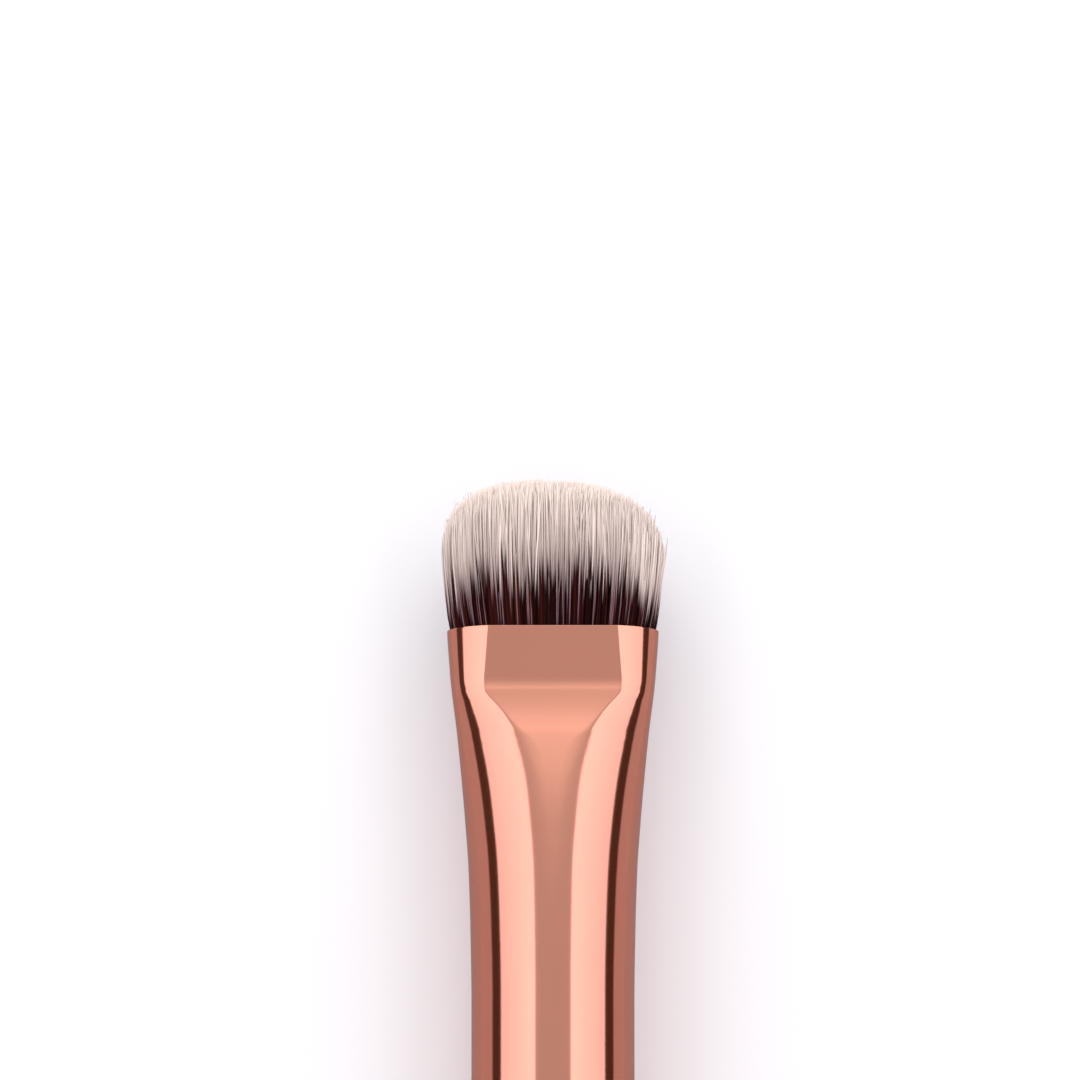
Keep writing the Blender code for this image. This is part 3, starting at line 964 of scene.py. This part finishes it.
@dataclass
class Tuft:
    """The bundle of filaments: it fills the mouth, swells past the lip and ends in a dome."""

    ferrule: Ferrule
    length: float = 0.00641
    crown: float = 0.0031
    crown_power: float = 2.4
    thickness_drop_share: float = 0.5
    lean: float = 0.00038
    flare: float = 0.00022
    swell: float = 0.00022
    filament_diameter: float = 0.000052
    filament_sides: int = 4
    spacing: float = 0.000046
    shake_share: float = 0.25
    bed_depth: float = 0.0006
    bed_length: float = 0.0014
    bed_steps: tuple[int, int, int] = (3, 2, 10)
    length_scatter: float = 0.00030
    scatter_power: float = 1.5
    clump_size: float = 0.00034
    clump_pull: float = 0.00014
    clump_places: tuple[Triple, Triple] = ((0, 0, 0), (5, 9, 2))
    stray_share: float = 0.2
    side_scatter: float = 0.0001
    stray_scatter: float = 0.00042
    edge_calm_share: float = 0.6
    leaning_shares: Triple = (1, 1, 3)
    leaning_powers: Triple = (3, 4, 0.5)
    dye_height: float = 0.0026
    side_dye_drop: float = 0.0012
    dye_slant: float = 0.00006
    dye_scatter: float = 0.0004
    dye_clump: float = 0.00045
    dye_clump_size: float = 0.00068
    dye_clump_place: Triple = (7, 3, 1)
    pale_share: float = 0.3
    pale_drop_share: float = 0.2
    map_margin_share: float = 0.002
    lot_margin_share: float = 0.3
    bundles: int = 4
    lots: int = 64
    seed: int = 8
    spread_shares: Shares = ((-0.1, 0), (0, 0.14), (0.04, 0.3), (0.25, 0.66), (0.48, 0.96),
                             (0.7, 1.02), (1, 1.04))
    spread_digits: int = 4
    station_shares: tuple[float, ...] = (0, 0.12, 0.3, 0.48, 0.64, 0.79, 0.91, 1)
    taper_shares: tuple[float, ...] = (1, 1.06, 1.16, 1.22, 1.2, 1.05, 0.78, 0.3)

    def model_filament(self) -> Model:
        """Model one straight filament of unit length and radius: square-sided and tapered.

        Returns:
            Its corners as rows of (out, along, up), and its faces.
        """
        model = draw_ring("model_filament", self.filament_sides, radius=1, middle=Vector())
        open_edit(model)
        stations = list(zip(self.station_shares, self.taper_shares))
        for (near, wide), (far, narrow) in zip(stations, stations[1:]):
            extrude_along(far - near)
            resize(narrow / wide, narrow / wide, Vector())
        close_edit()
        corners = np.array([tuple(v.co) for v in model.data.vertices])
        faces = [tuple(face.vertices) for face in model.data.polygons]
        bpy.data.objects.remove(model, do_unlink=True)
        return corners, faces

    def roots(self) -> list[Vector]:
        """Place the roots in the mouth, in staggered rows shaken a little.

        Returns:
            Points (out, up) in the mouth's section.
        """
        section = self.ferrule.section(0).inset(self.ferrule.wall + self.filament_diameter / 2)
        chance = np.random.default_rng(self.seed)
        row_step = self.spacing * math.sqrt(3) / 2
        shaken = self.spacing * self.shake_share
        rows = int(section.half_thickness / row_step)
        columns = int(section.half_width / self.spacing)
        places = []
        for row in range(-rows, rows + 1):
            for column in range(-columns - 1, columns + 2):
                shake = chance.uniform(-shaken, shaken, 2)
                out = (column + row % 2 / 2) * self.spacing + shake[0]
                up = row * row_step + shake[1]
                if abs(out) < section.half_width and abs(up) < section.half_height(out):
                    places.append(Vector((out, up)))
        return places

    def crown_height(self, out_share: float, up_share: float) -> float:
        """Find the height of the domed crown above the mouth.

        Args:
            out_share: the place across the tuft, from -1 to 1.
            up_share: the place through the tuft, from -1 to 1.

        Returns:
            The height there.
        """
        drop = abs(out_share) ** self.crown_power
        drop += self.thickness_drop_share * abs(up_share) ** self.crown_power
        crown = max(0.0, 1 - drop) ** (1 / self.crown_power)
        return self.length - self.crown * (1 - crown) - self.lean * (1 + out_share) / 2

    def lot_of(self, out_share: float, root: Vector, chance: float, pale_chance: float) -> int:
        """Find the dye lot of a filament, by how high its dye line lies.

        Args:
            out_share: where it stands across the tuft, from -1 to 1.
            root: its root in the mouth.
            chance: a number from a bell curve round zero.
            pale_chance: a number from 0 to 1, low for filaments that stay pale far down.

        Returns:
            A number from 0 to one less than the count of lots, odd if it stays pale far down.
        """
        where = Vector((root.x, root.y, 0)) / self.dye_clump_size
        clump = noise.noise(where + Vector(self.dye_clump_place))
        line = self.dye_height - self.side_dye_drop * out_share ** 2 - self.dye_slant * out_share
        line += self.dye_scatter * chance + self.dye_clump * clump
        pale = pale_chance < self.pale_share
        if pale:
            line *= pale_chance / self.pale_share - self.pale_drop_share
        share = (line + self.bed_depth) / (self.length + self.bed_depth)
        pairs = self.lots // 2
        return 2 * int(min(pairs - 1, max(0, share * pairs))) + pale

    def filament_lines(self) -> tuple[np.ndarray, np.ndarray, np.ndarray]:
        """Lay out every filament.

        Returns:
            The stations of each filament's centre line, as filament by station by (x, y, z), the
            dye lot of each, and its turn about its own line.
        """
        wide, _, thick = self.half_size()
        root_section = self.ferrule.section(0).inset(self.ferrule.wall)
        roots = self.roots()
        chance = np.random.default_rng(self.seed + 1)
        spread = {}
        lines = []
        lots = []
        for root in roots:
            out_share = root.x / (root_section.half_width - self.filament_diameter / 2)
            up_share = root.y / (root_section.half_thickness - self.filament_diameter / 2)
            where = Vector((root.x, root.y, 0)) / self.clump_size
            pull = Vector([noise.noise(where + Vector(place)) for place in self.clump_places])
            stray = chance.random() < self.stray_share
            scatter = self.stray_scatter if stray else self.side_scatter
            scatter *= 1 - self.edge_calm_share * out_share ** 2
            shake = Vector(chance.normal(0, scatter, 2)) + pull * self.clump_pull
            height = self.crown_height(out_share, up_share)
            height -= self.length_scatter * chance.random() ** self.scatter_power
            tip = Vector((out_share * wide, up_share * thick))
            line = []
            for share in self.station_shares:
                along = -self.bed_depth - self.spacing + share * (height + self.bed_depth)
                key = round(along / self.length, self.spread_digits)
                if key not in spread:
                    spread[key] = share_at(self.spread_shares, key)
                shaken = max(0, along / self.length) ** self.scatter_power
                place = root.lerp(tip, spread[key]) + shake * shaken
                line.append(tuple(self.ferrule.at(-along, place.x, place.y)))
            lines.append(line)
            lots.append(self.lot_of(out_share, root, chance.normal(), chance.random()))
        turns = chance.uniform(0, math.pi / 2, len(roots))
        return np.array(lines), np.array(lots), turns

    def bundle(self, name: str, lines: np.ndarray, lots: np.ndarray, turns: np.ndarray,
               model: Model) -> Piece:
        """Bend copies of the model filament along their lines, in one mesh.

        Args:
            name: the piece's name.
            lines: the filaments' stations.
            lots: the filaments' dye lots.
            turns: the filaments' turns about their own lines.
            model: the model filament's corners and faces.

        Returns:
            The bundle.
        """
        corners, faces = model
        station = np.abs(corners[:, 1, None] - np.array(self.station_shares)).argmin(1)
        cos, sin = np.cos(turns)[:, None], np.sin(turns)[:, None]
        radius = self.filament_diameter / 2
        off = np.zeros((len(lines), len(corners), 3))
        off[:, :, 0] = (corners[:, 0] * cos - corners[:, 2] * sin) * radius
        off[:, :, 2] = (corners[:, 0] * sin + corners[:, 2] * cos) * radius
        places = lines[:, station, :] + off
        count = len(corners)
        all_faces = []
        for i in range(len(lines)):
            all_faces.extend(tuple(corner + i * count for corner in face) for face in faces)
        mesh = bpy.data.meshes.new(name)
        mesh.from_pydata(places.reshape(-1, 3).tolist(), [], all_faces)
        mesh.update()
        self.lay_on_map(mesh, places, lots)
        piece = bpy.data.objects.new(name, mesh)
        bpy.context.scene.collection.objects.link(piece)
        make_active(piece)
        bpy.ops.object.shade_smooth()
        self.lean_normals(mesh, places, off / radius)
        return piece

    def half_size(self) -> np.ndarray:
        """Half the swollen tuft's width, its length, and half its thickness."""
        mouth = self.ferrule.section(0)
        return np.array((mouth.half_width + self.flare, self.length,
                         mouth.half_thickness + self.swell))

    def lean_normals(self, mesh: bpy.types.Mesh, places: np.ndarray, out: np.ndarray) -> None:
        """Lean the normals out of the tuft, so that it is shaded more like one soft body.

        Args:
            mesh: the bundle's mesh.
            places: its corners, filament by filament.
            out: the way out of the filament at each corner, in radii of the filament.
        """
        shares = (places - np.array(self.ferrule.mouth)) / self.half_size()
        shares[:, :, 1] = shares[:, :, 1].clip(0, 1)
        leaning = np.abs(shares) ** np.array(self.leaning_powers) * np.sign(shares)
        # Below the axis the lean grows evenly with the distance
        below = shares[:, :, 2] <= 0
        leaning[:, :, 2][below] = shares[:, :, 2][below]
        normals = (out + leaning * np.array(self.leaning_shares)).reshape(-1, 3)
        normals /= np.linalg.norm(normals, axis=1)[:, None] + self.filament_diameter
        mesh.normals_split_custom_set_from_vertices(normals.tolist())

    def lay_on_map(self, mesh: bpy.types.Mesh, places: np.ndarray, lots: np.ndarray) -> None:
        """Lay each filament on the bake map: across by dye lot, up by height above the bed.

        Args:
            mesh: the bundle's mesh.
            places: its corners, filament by filament.
            lots: the filaments' dye lots.
        """
        height = places[:, :, 1] - self.ferrule.mouth.y + self.bed_depth
        up = height / (self.length + self.bed_depth)
        up = up.clip(self.map_margin_share, 1 - self.map_margin_share).ravel()
        sides = np.linspace(self.lot_margin_share, 1 - self.lot_margin_share, self.filament_sides)
        off = np.tile(sides, places.shape[1] // self.filament_sides)
        across = ((lots[:, None] + off[None, :]) / self.lots).ravel()
        corner_of_loop = np.zeros(len(mesh.loops), np.int32)
        mesh.loops.foreach_get("vertex_index", corner_of_loop)
        layer = mesh.uv_layers.new(name=BAKE_MAP)
        uv = np.stack([across[corner_of_loop], up[corner_of_loop]], 1)
        layer.uv.foreach_set("vector", uv.astype(np.float32).ravel())

    def build_bed(self) -> Piece:
        """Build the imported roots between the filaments, as a plug in the mouth.

        Returns:
            The plug.
        """
        section = self.ferrule.section(self.bed_depth).inset(self.ferrule.wall)
        outline = section.outline(self.ferrule.fillet, *self.bed_steps)
        bed = draw_ring("root_bed", len(outline), section.half_width,
                        self.ferrule.at(self.bed_depth))
        for corner in bed.data.vertices:
            self.ferrule.press(corner, self.bed_depth, outline)
        narrow = self.ferrule.section(self.bed_depth + self.bed_length).inset(self.ferrule.wall)
        open_edit(bed)
        extrude_along(-self.bed_length)
        resize(narrow.half_width / section.half_width, 1, self.ferrule.mouth)
        close_edit()
        return bed

    def build(self) -> list[Piece]:
        """Build the bundles of filaments, side by side across the tuft.

        Returns:
            The bundles, from left to right.
        """
        model = self.model_filament()
        lines, lots, turns = self.filament_lines()
        order = np.argsort(lines[:, 0, 0])
        pieces = []
        for i, part in enumerate(np.array_split(order, self.bundles)):
            name = f"filaments_{i + 1}"
            pieces.append(self.bundle(name, lines[part], lots[part], turns[part], model))
        return pieces

    def dress(self, pieces: list[Piece], bed: Piece, effects: Effects) -> None:
        """Dye the filaments and their bed.

        Args:
            pieces: the bundles of filaments.
            bed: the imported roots.
            effects: the shared effects.
        """
        dyed = DyedFilament("dyed_filament", colour=(1.0, 0.846, 0.745), roughness=0.42,
                            lots=self.lots)
        finish = dyed.make(effects)
        for piece in pieces:
            hand_over(piece, Slot.FILAMENT, finish, "bristle_tuft")
        packed = Streaked("packed_roots", colour=(0.02, 0.009, 0.007), roughness=0.6)
        hand_over(bed, Slot.FILAMENT, packed.make(effects), "bristle_tuft")


@dataclass
class Handle:
    """The turned handle, with the tenon that the ferrule is crimped on.

    Its belly rests on the ground, so the belly's radius is the height of the ferrule's axis.
    """

    ferrule: Ferrule
    length: float = 0.1260
    shoulder_step: float = 0.0002
    shoulder_rounding: float = 0.00025
    shoulder_steps: int = 3
    belly_rise: float = 0.0200
    belly_length: float = 0.0360
    tail_diameter: float = 0.0047
    tail_rounding: float = 0.0026
    tail_steps: int = 8
    tail_flat_diameter: float = 0.0024
    tail_inset_share: float = 0.2
    tenon_length: float = 0.0140
    tenon_chamfer: float = 0.0007
    seat_gap: float = 0.00015
    sides: int = 96
    sharp_angle: float = math.radians(32)
    rise_shares: Shares = ((0, 0), (0.35, 0.52), (0.7, 0.9), (1, 1))
    taper_shares: Shares = ((0, 0), (0.18, 0.07), (0.45, 0.42), (0.72, 0.8), (1, 1))
    rise_steps: int = 14
    taper_steps: int = 30

    def tenon_radius(self, depth: float) -> float:
        """Radius of the tenon, which the crimps press in with the ferrule."""
        clear = self.ferrule.tube_diameter / 2 - self.ferrule.wall - self.seat_gap
        return clear - self.ferrule.crimp_squeeze(depth)

    def tenon(self, start: float) -> list[Pair]:
        """Lay out the tenon's profile.

        Args:
            start: the depth of the shoulder that it stands on.

        Returns:
            Points (depth, radius) from its nose to the shoulder.
        """
        nose = start - self.tenon_length
        points = [(nose, self.tenon_radius(nose) - self.tenon_chamfer)]
        for depth in self.ferrule.depths():
            if nose + self.tenon_chamfer <= depth < start:
                points.append((depth, self.tenon_radius(depth)))
        return points + [(start, self.tenon_radius(start))]

    def run(self, shares: Shares, steps: int, place: Pair, radii: Pair) -> list[Pair]:
        """Lay out a run of the profile whose radius follows a curve of shares.

        Args:
            shares: the curve.
            steps: how many steps the run has.
            place: the depth where it starts, and its length.
            radii: the radius where it starts, and where it ends.

        Returns:
            Points (depth, radius) after the first.
        """
        points = []
        for i in range(1, steps + 1):
            share = i / steps
            radius = radii[0] + (radii[1] - radii[0]) * share_at(shares, share)
            points.append((place[0] + place[1] * share, radius))
        return points

    def profile(self) -> list[Pair]:
        """Lay out the handle's profile.

        Returns:
            Points (depth, radius) from the tenon's nose to the tail.
        """
        start = self.ferrule.length + self.seat_gap
        end = start + self.length
        shoulder = self.ferrule.tube_diameter / 2 + self.shoulder_step
        belly = self.ferrule.mouth.z
        tail, tail_flat = self.tail_diameter / 2, self.tail_flat_diameter / 2
        points = self.tenon(start)
        for i in range(self.shoulder_steps + 1):
            angle = math.pi / 2 * i / self.shoulder_steps
            points.append((start + self.shoulder_rounding * (1 - math.cos(angle)),
                           shoulder - self.shoulder_rounding * (1 - math.sin(angle))))
        points += self.run(self.rise_shares, self.rise_steps, (start, self.belly_rise),
                           (shoulder, belly))
        taper_start = start + self.belly_rise + self.belly_length
        points.append((taper_start, belly))
        points += self.run(self.taper_shares, self.taper_steps,
                           (taper_start, end - self.tail_rounding - taper_start), (belly, tail))
        for i in range(1, self.tail_steps + 1):
            angle = math.pi / 2 * i / self.tail_steps
            points.append((end - self.tail_rounding * (1 - math.sin(angle)),
                           tail_flat + (tail - tail_flat) * math.cos(angle)))
        return points

    def build(self) -> Piece:
        """Turn the handle: extrude a ring along the axis and size it step by step.

        Returns:
            The handle.
        """
        points = self.profile()
        depth, radius = points[0]
        turned = draw_ring("turned_handle", self.sides, radius, self.ferrule.at(depth))
        open_edit(turned)
        for (near, wide), (far, narrow) in zip(points, points[1:]):
            extrude_along(near - far)
            resize(narrow / wide, narrow / wide, self.ferrule.at(far))
        bpy.ops.mesh.inset(thickness=self.tail_flat_diameter * self.tail_inset_share)
        close_edit()
        bpy.ops.object.shade_smooth_by_angle(angle=self.sharp_angle)
        return turned

    def dress(self, turned: Piece, effects: Effects) -> None:
        """Lacquer the handle.

        Args:
            turned: the handle.
            effects: the shared effects.
        """
        shoulder = self.ferrule.mouth.y - self.ferrule.length - self.seat_gap
        finish = Lacquer("black_lacquer", colour=(0.012, 0.010, 0.010), roughness=0.22,
                         shoulder=shoulder, tail=shoulder - self.length)
        hand_over(turned, Slot.WOOD, finish.make(effects), "handle")


@dataclass
class Fixing:
    """What holds the brush together inside the ferrule: set roots, bound thread and glue."""

    turns: int = 5
    strand_sides: int = 10
    steps_per_turn: int = 40
    sharp_angle: float = math.radians(60)

    def build_thread(self) -> Piece:
        """Wind the thread: a small ring screwed round the neck of the set roots.

        Returns:
            The thread.
        """
        low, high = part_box("binding_thread")
        middle = (low + high) / 2
        strand = (high.y - low.y) / (self.turns + 1)
        radius = (high.x - low.x) / 2 - strand / 2
        deselect_all()
        bpy.ops.mesh.primitive_circle_add(vertices=self.strand_sides, radius=strand / 2,
                                          location=(radius, 0, 0))
        thread = bpy.context.object
        thread.name = "wound_thread"
        settle(thread)
        wind = thread.modifiers.new("wind", "SCREW")
        wind.axis = "Y"
        wind.screw_offset = strand
        wind.iterations = self.turns
        wind.steps = wind.render_steps = self.steps_per_turn
        apply_modifiers(thread)
        open_edit(thread)
        bpy.ops.mesh.select_all(action="DESELECT")
        bpy.ops.mesh.select_non_manifold()
        bpy.ops.mesh.edge_face_add()
        close_edit()
        thread.location = middle - Vector((0, strand * self.turns / 2, 0))
        settle(thread)
        bpy.ops.object.shade_smooth_by_angle(angle=self.sharp_angle)
        return thread

    def dress(self, thread: Piece, effects: Effects) -> None:
        """Finish the thread, and the nodes that stay.

        Args:
            thread: the thread.
            effects: the shared effects.
        """
        waxed = Streaked("waxed_thread", colour=(0.75, 0.70, 0.60), roughness=0.7, across=9000.0,
                         along=9000.0, contrast=0.15)
        hand_over(thread, Slot.THREAD, waxed.make(effects), "binding_thread")
        epoxy = Streaked("set_roots", colour=(0.16, 0.09, 0.05), roughness=0.35)
        dress_node("root_plug", Slot.SET_ROOTS, epoxy.make(effects))
        glue = Streaked("amber_glue", colour=(0.60, 0.45, 0.25), roughness=0.25, across=900.0,
                        along=900.0, contrast=0.2)
        dress_node("tenon_glue", Slot.GLUE, glue.make(effects))


# The studio


@dataclass(frozen=True)
class Card:
    """A card that lies or stands along the brush on either side, seen only in the metal.

    It starts at a distance out from the axis and at a height above the floor. What the metal shows
    of
    it is painted reflection: the grey cards, darker than the floor, stand for shaded floor, and the
    dark card for a dark band.
    """

    name: str
    out: float
    width: float
    low: float
    height: float
    colour: Colour


@dataclass
class Studio:
    """A pale floor, soft boxes, cards for the metal to show, a lit room and the camera.

    The camera's sensor is in millimetres, and its picture's width in metres.
    """

    ferrule: Ferrule
    floor_size: float = 8.0
    floor_colour: float = 0.80
    floor_seen: float = 0.88
    box_distance: float = 0.35
    box_from: float = math.radians(25)
    box_to: float = math.radians(86)
    box_length: float = 1.6
    box_level: float = 1.10
    box_colour: Colour = (0.91, 0.884, 0.99)
    tuft_box_size: float = 0.3
    tuft_box_rise: float = math.radians(50)
    tuft_box_level: float = 0.42
    card_length: float = 0.6
    # Painted reflection: cards seen only in the metal, the grey ones darker than the floor for
    # shaded floor, the dark one for a dark band
    cards: tuple[Card, ...] = (
        Card("floor_card", out=0.0030, width=0.0090, low=0.0001, height=0.0001,
             colour=(0.36, 0.305, 0.296)),
        Card("low_card", out=0.0120, width=0.0003, low=0.0001, height=0.0054,
             colour=(0.52, 0.47, 0.46)),
        Card("dark_card", out=0.0120, width=0.0003, low=0.0055, height=0.0032,
             colour=(0.072, 0.042, 0.025)))
    sky_level: float = 0.43
    room_level: float = 0.1
    strip_edge: Pair = (math.radians(25), math.radians(80))
    glow_level: float = 0.53
    glow_edge: Pair = (math.radians(1), math.radians(24.5))
    glow_rise: Pair = (math.radians(11.5), math.radians(55))
    glow_fall: Pair = (math.radians(60), math.radians(92))
    low_glow_share: float = 0.3
    camera_tilt: float = math.radians(11)
    camera_distance: float = 0.6
    camera_sensor: float = 36.0
    camera_clip: Pair = (0.01, 20.0)
    picture_width: float = 0.04333
    aim_left: float = 0.000516
    aim_ahead: float = 0.00376

    def build_floor(self) -> None:
        """Lay the floor."""
        deselect_all()
        bpy.ops.mesh.primitive_plane_add(size=self.floor_size)
        floor = bpy.context.object
        floor.name = "studio_floor"
        paper, nodes, shader = start_material("floor_paper")
        seen = nodes.add("LightPath").outputs["Is Camera Ray"]
        grey = nodes.ramp(seen, 0.0, 1.0, self.floor_colour, self.floor_seen, Ease.EVEN)
        nodes.feed(shader, {"Base Color": grey, "Roughness": 0.9, "Specular IOR Level": 0.1})
        floor.data.materials.append(paper)

    def build_cards(self) -> None:
        """Set the cards on either side of the brush."""
        for card in self.cards:
            matt, nodes, shader = start_material(card.name)
            nodes.feed(shader, {"Base Color": (*card.colour, 1), "Roughness": 1.0,
                                "Specular IOR Level": 0.0})
            for name, side in SIDES.items():
                deselect_all()
                place = (side * (card.out + card.width / 2), self.ferrule.mouth.y,
                         card.low + card.height / 2)
                bpy.ops.mesh.primitive_cube_add(size=1, location=place)
                made = bpy.context.object
                made.name = f"{card.name}_{name}"
                made.scale = (card.width, self.card_length, card.height)
                settle(made)
                made.data.materials.append(matt)
                for ray in ("camera", "diffuse", "transmission", "volume_scatter", "shadow"):
                    setattr(made, "visible_" + ray, False)

    def hang_box(self, name: str, size: Pair, energy: float, way: Vector, turn: Triple) -> Piece:
        """Hang a soft box that looks at the ferrule's mouth.

        Args:
            name: its name.
            size: its two sides.
            energy: its power.
            way: the way from the mouth to it, one long.
            turn: its turn about each axis.

        Returns:
            The soft box, which the camera doesn't see.
        """
        lamp = bpy.data.lights.new(name, "AREA")
        lamp.shape = "RECTANGLE"
        lamp.size, lamp.size_y = size
        lamp.energy = energy
        hung = bpy.data.objects.new(name, lamp)
        bpy.context.scene.collection.objects.link(hung)
        hung.location = self.ferrule.mouth + way * self.box_distance
        hung.rotation_euler = turn
        hung.visible_camera = False
        return hung

    def build_boxes(self) -> None:
        """Hang a long soft box on either side, over the whole brush, and one past the tips."""
        middle = (self.box_from + self.box_to) / 2
        width = 2 * self.box_distance * math.tan((self.box_to - self.box_from) / 2)
        energy = self.box_level * math.pi * width * self.box_length
        for name, side in SIDES.items():
            way = Vector((side * math.sin(middle), 0, math.cos(middle)))
            box = self.hang_box("soft_box_" + name, (width, self.box_length), energy, way,
                                (0, side * middle, 0))
            box.data.color = self.box_colour
        # The box past the tips lights the tuft, and the metal doesn't show it
        rise = self.tuft_box_rise
        energy = self.tuft_box_level * (math.pi * self.box_distance) ** 2
        way = Vector((0, math.cos(rise), math.sin(rise)))
        box = self.hang_box("tuft_box", (self.tuft_box_size, self.tuft_box_size), energy, way,
                            (rise - math.pi / 2, 0, 0))
        box.visible_glossy = False

    def build_room(self) -> None:
        """Light the room: a dim grey, with a lit strip overhead that grows brighter low down."""
        world = bpy.data.worlds.new("studio_room")
        world.use_nodes = True
        bpy.context.scene.world = world
        nodes = Nodes(world.node_tree)
        way = nodes.add("SeparateXYZ", {0: nodes.add("TexCoord").outputs["Generated"]})
        ahead, aside = (nodes.math("ABSOLUTE", way.outputs[axis]) for axis in "YX")
        tilt = nodes.math("ARCTAN2", ahead, way.outputs["Z"])
        turn = nodes.math("ARCTAN2", aside, way.outputs["Z"])
        rise = nodes.ramp(tilt, *self.glow_rise, ease=Ease.EVEN)
        fall = nodes.ramp(tilt, *self.glow_fall, 1.0, self.low_glow_share)
        narrow = nodes.ramp(turn, *self.glow_edge, 1.0, 0.0, Ease.EVEN)
        glow = nodes.math("MULTIPLY", nodes.math("MULTIPLY", rise, fall), narrow)
        level = nodes.math("ADD", nodes.math("MULTIPLY", glow, self.glow_level), self.sky_level)
        strip = nodes.ramp(turn, *self.strip_edge, 1.0, 0.0, Ease.EVEN)
        level = nodes.math("ADD", nodes.math("MULTIPLY", level, strip), self.room_level)
        lit = nodes.add("Background", {"Color": (1, 1, 1, 1), "Strength": level})
        nodes.add("OutputWorld", {"Surface": lit.outputs[0]})

    def build_camera(self) -> None:
        """Set the camera over the tuft, leaning back a little towards the handle."""
        data = bpy.data.cameras.new("camera")
        camera = bpy.data.objects.new("camera", data)
        bpy.context.scene.collection.objects.link(camera)
        data.sensor_width = self.camera_sensor
        data.lens = self.camera_sensor * self.camera_distance / self.picture_width
        data.clip_start, data.clip_end = self.camera_clip
        aim = self.ferrule.at(-self.aim_ahead, -self.aim_left)
        back = Vector((0, -math.sin(self.camera_tilt), math.cos(self.camera_tilt)))
        camera.location = aim + back * self.camera_distance
        camera.rotation_euler = (self.camera_tilt, 0, 0)
        bpy.context.scene.camera = camera

    def build(self) -> None:
        """Set up the whole studio."""
        self.build_floor()
        self.build_cards()
        self.build_boxes()
        self.build_room()
        self.build_camera()
        bpy.context.scene.view_settings.view_transform = "Standard"


def report(assembly: str, *pieces: Piece) -> None:
    """Log each piece of a sub-assembly, with the number of its faces."""
    for piece in pieces:
        log.info("%s: %s, %d faces", assembly, piece.name, len(piece.data.polygons))


def main() -> None:
    """Build and dress each sub-assembly in order, then the studio."""
    logging.basicConfig(level=logging.INFO, format="%(message)s")
    effects = Effects.build()
    ferrule = Ferrule()
    tube = ferrule.build()
    ferrule.dress(tube, effects)
    report("ferrule", tube)
    tuft = Tuft(ferrule)
    bundles = tuft.build()
    bed = tuft.build_bed()
    tuft.dress(bundles, bed, effects)
    report("tuft", *bundles, bed)
    handle = Handle(ferrule)
    turned = handle.build()
    handle.dress(turned, effects)
    report("handle", turned)
    fixing = Fixing()
    thread = fixing.build_thread()
    fixing.dress(thread, effects)
    report("fixing", thread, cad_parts["root_plug"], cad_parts["tenon_glue"])
    Studio(ferrule).build()
    deselect_all()


if __name__ == "__main__":
    main()
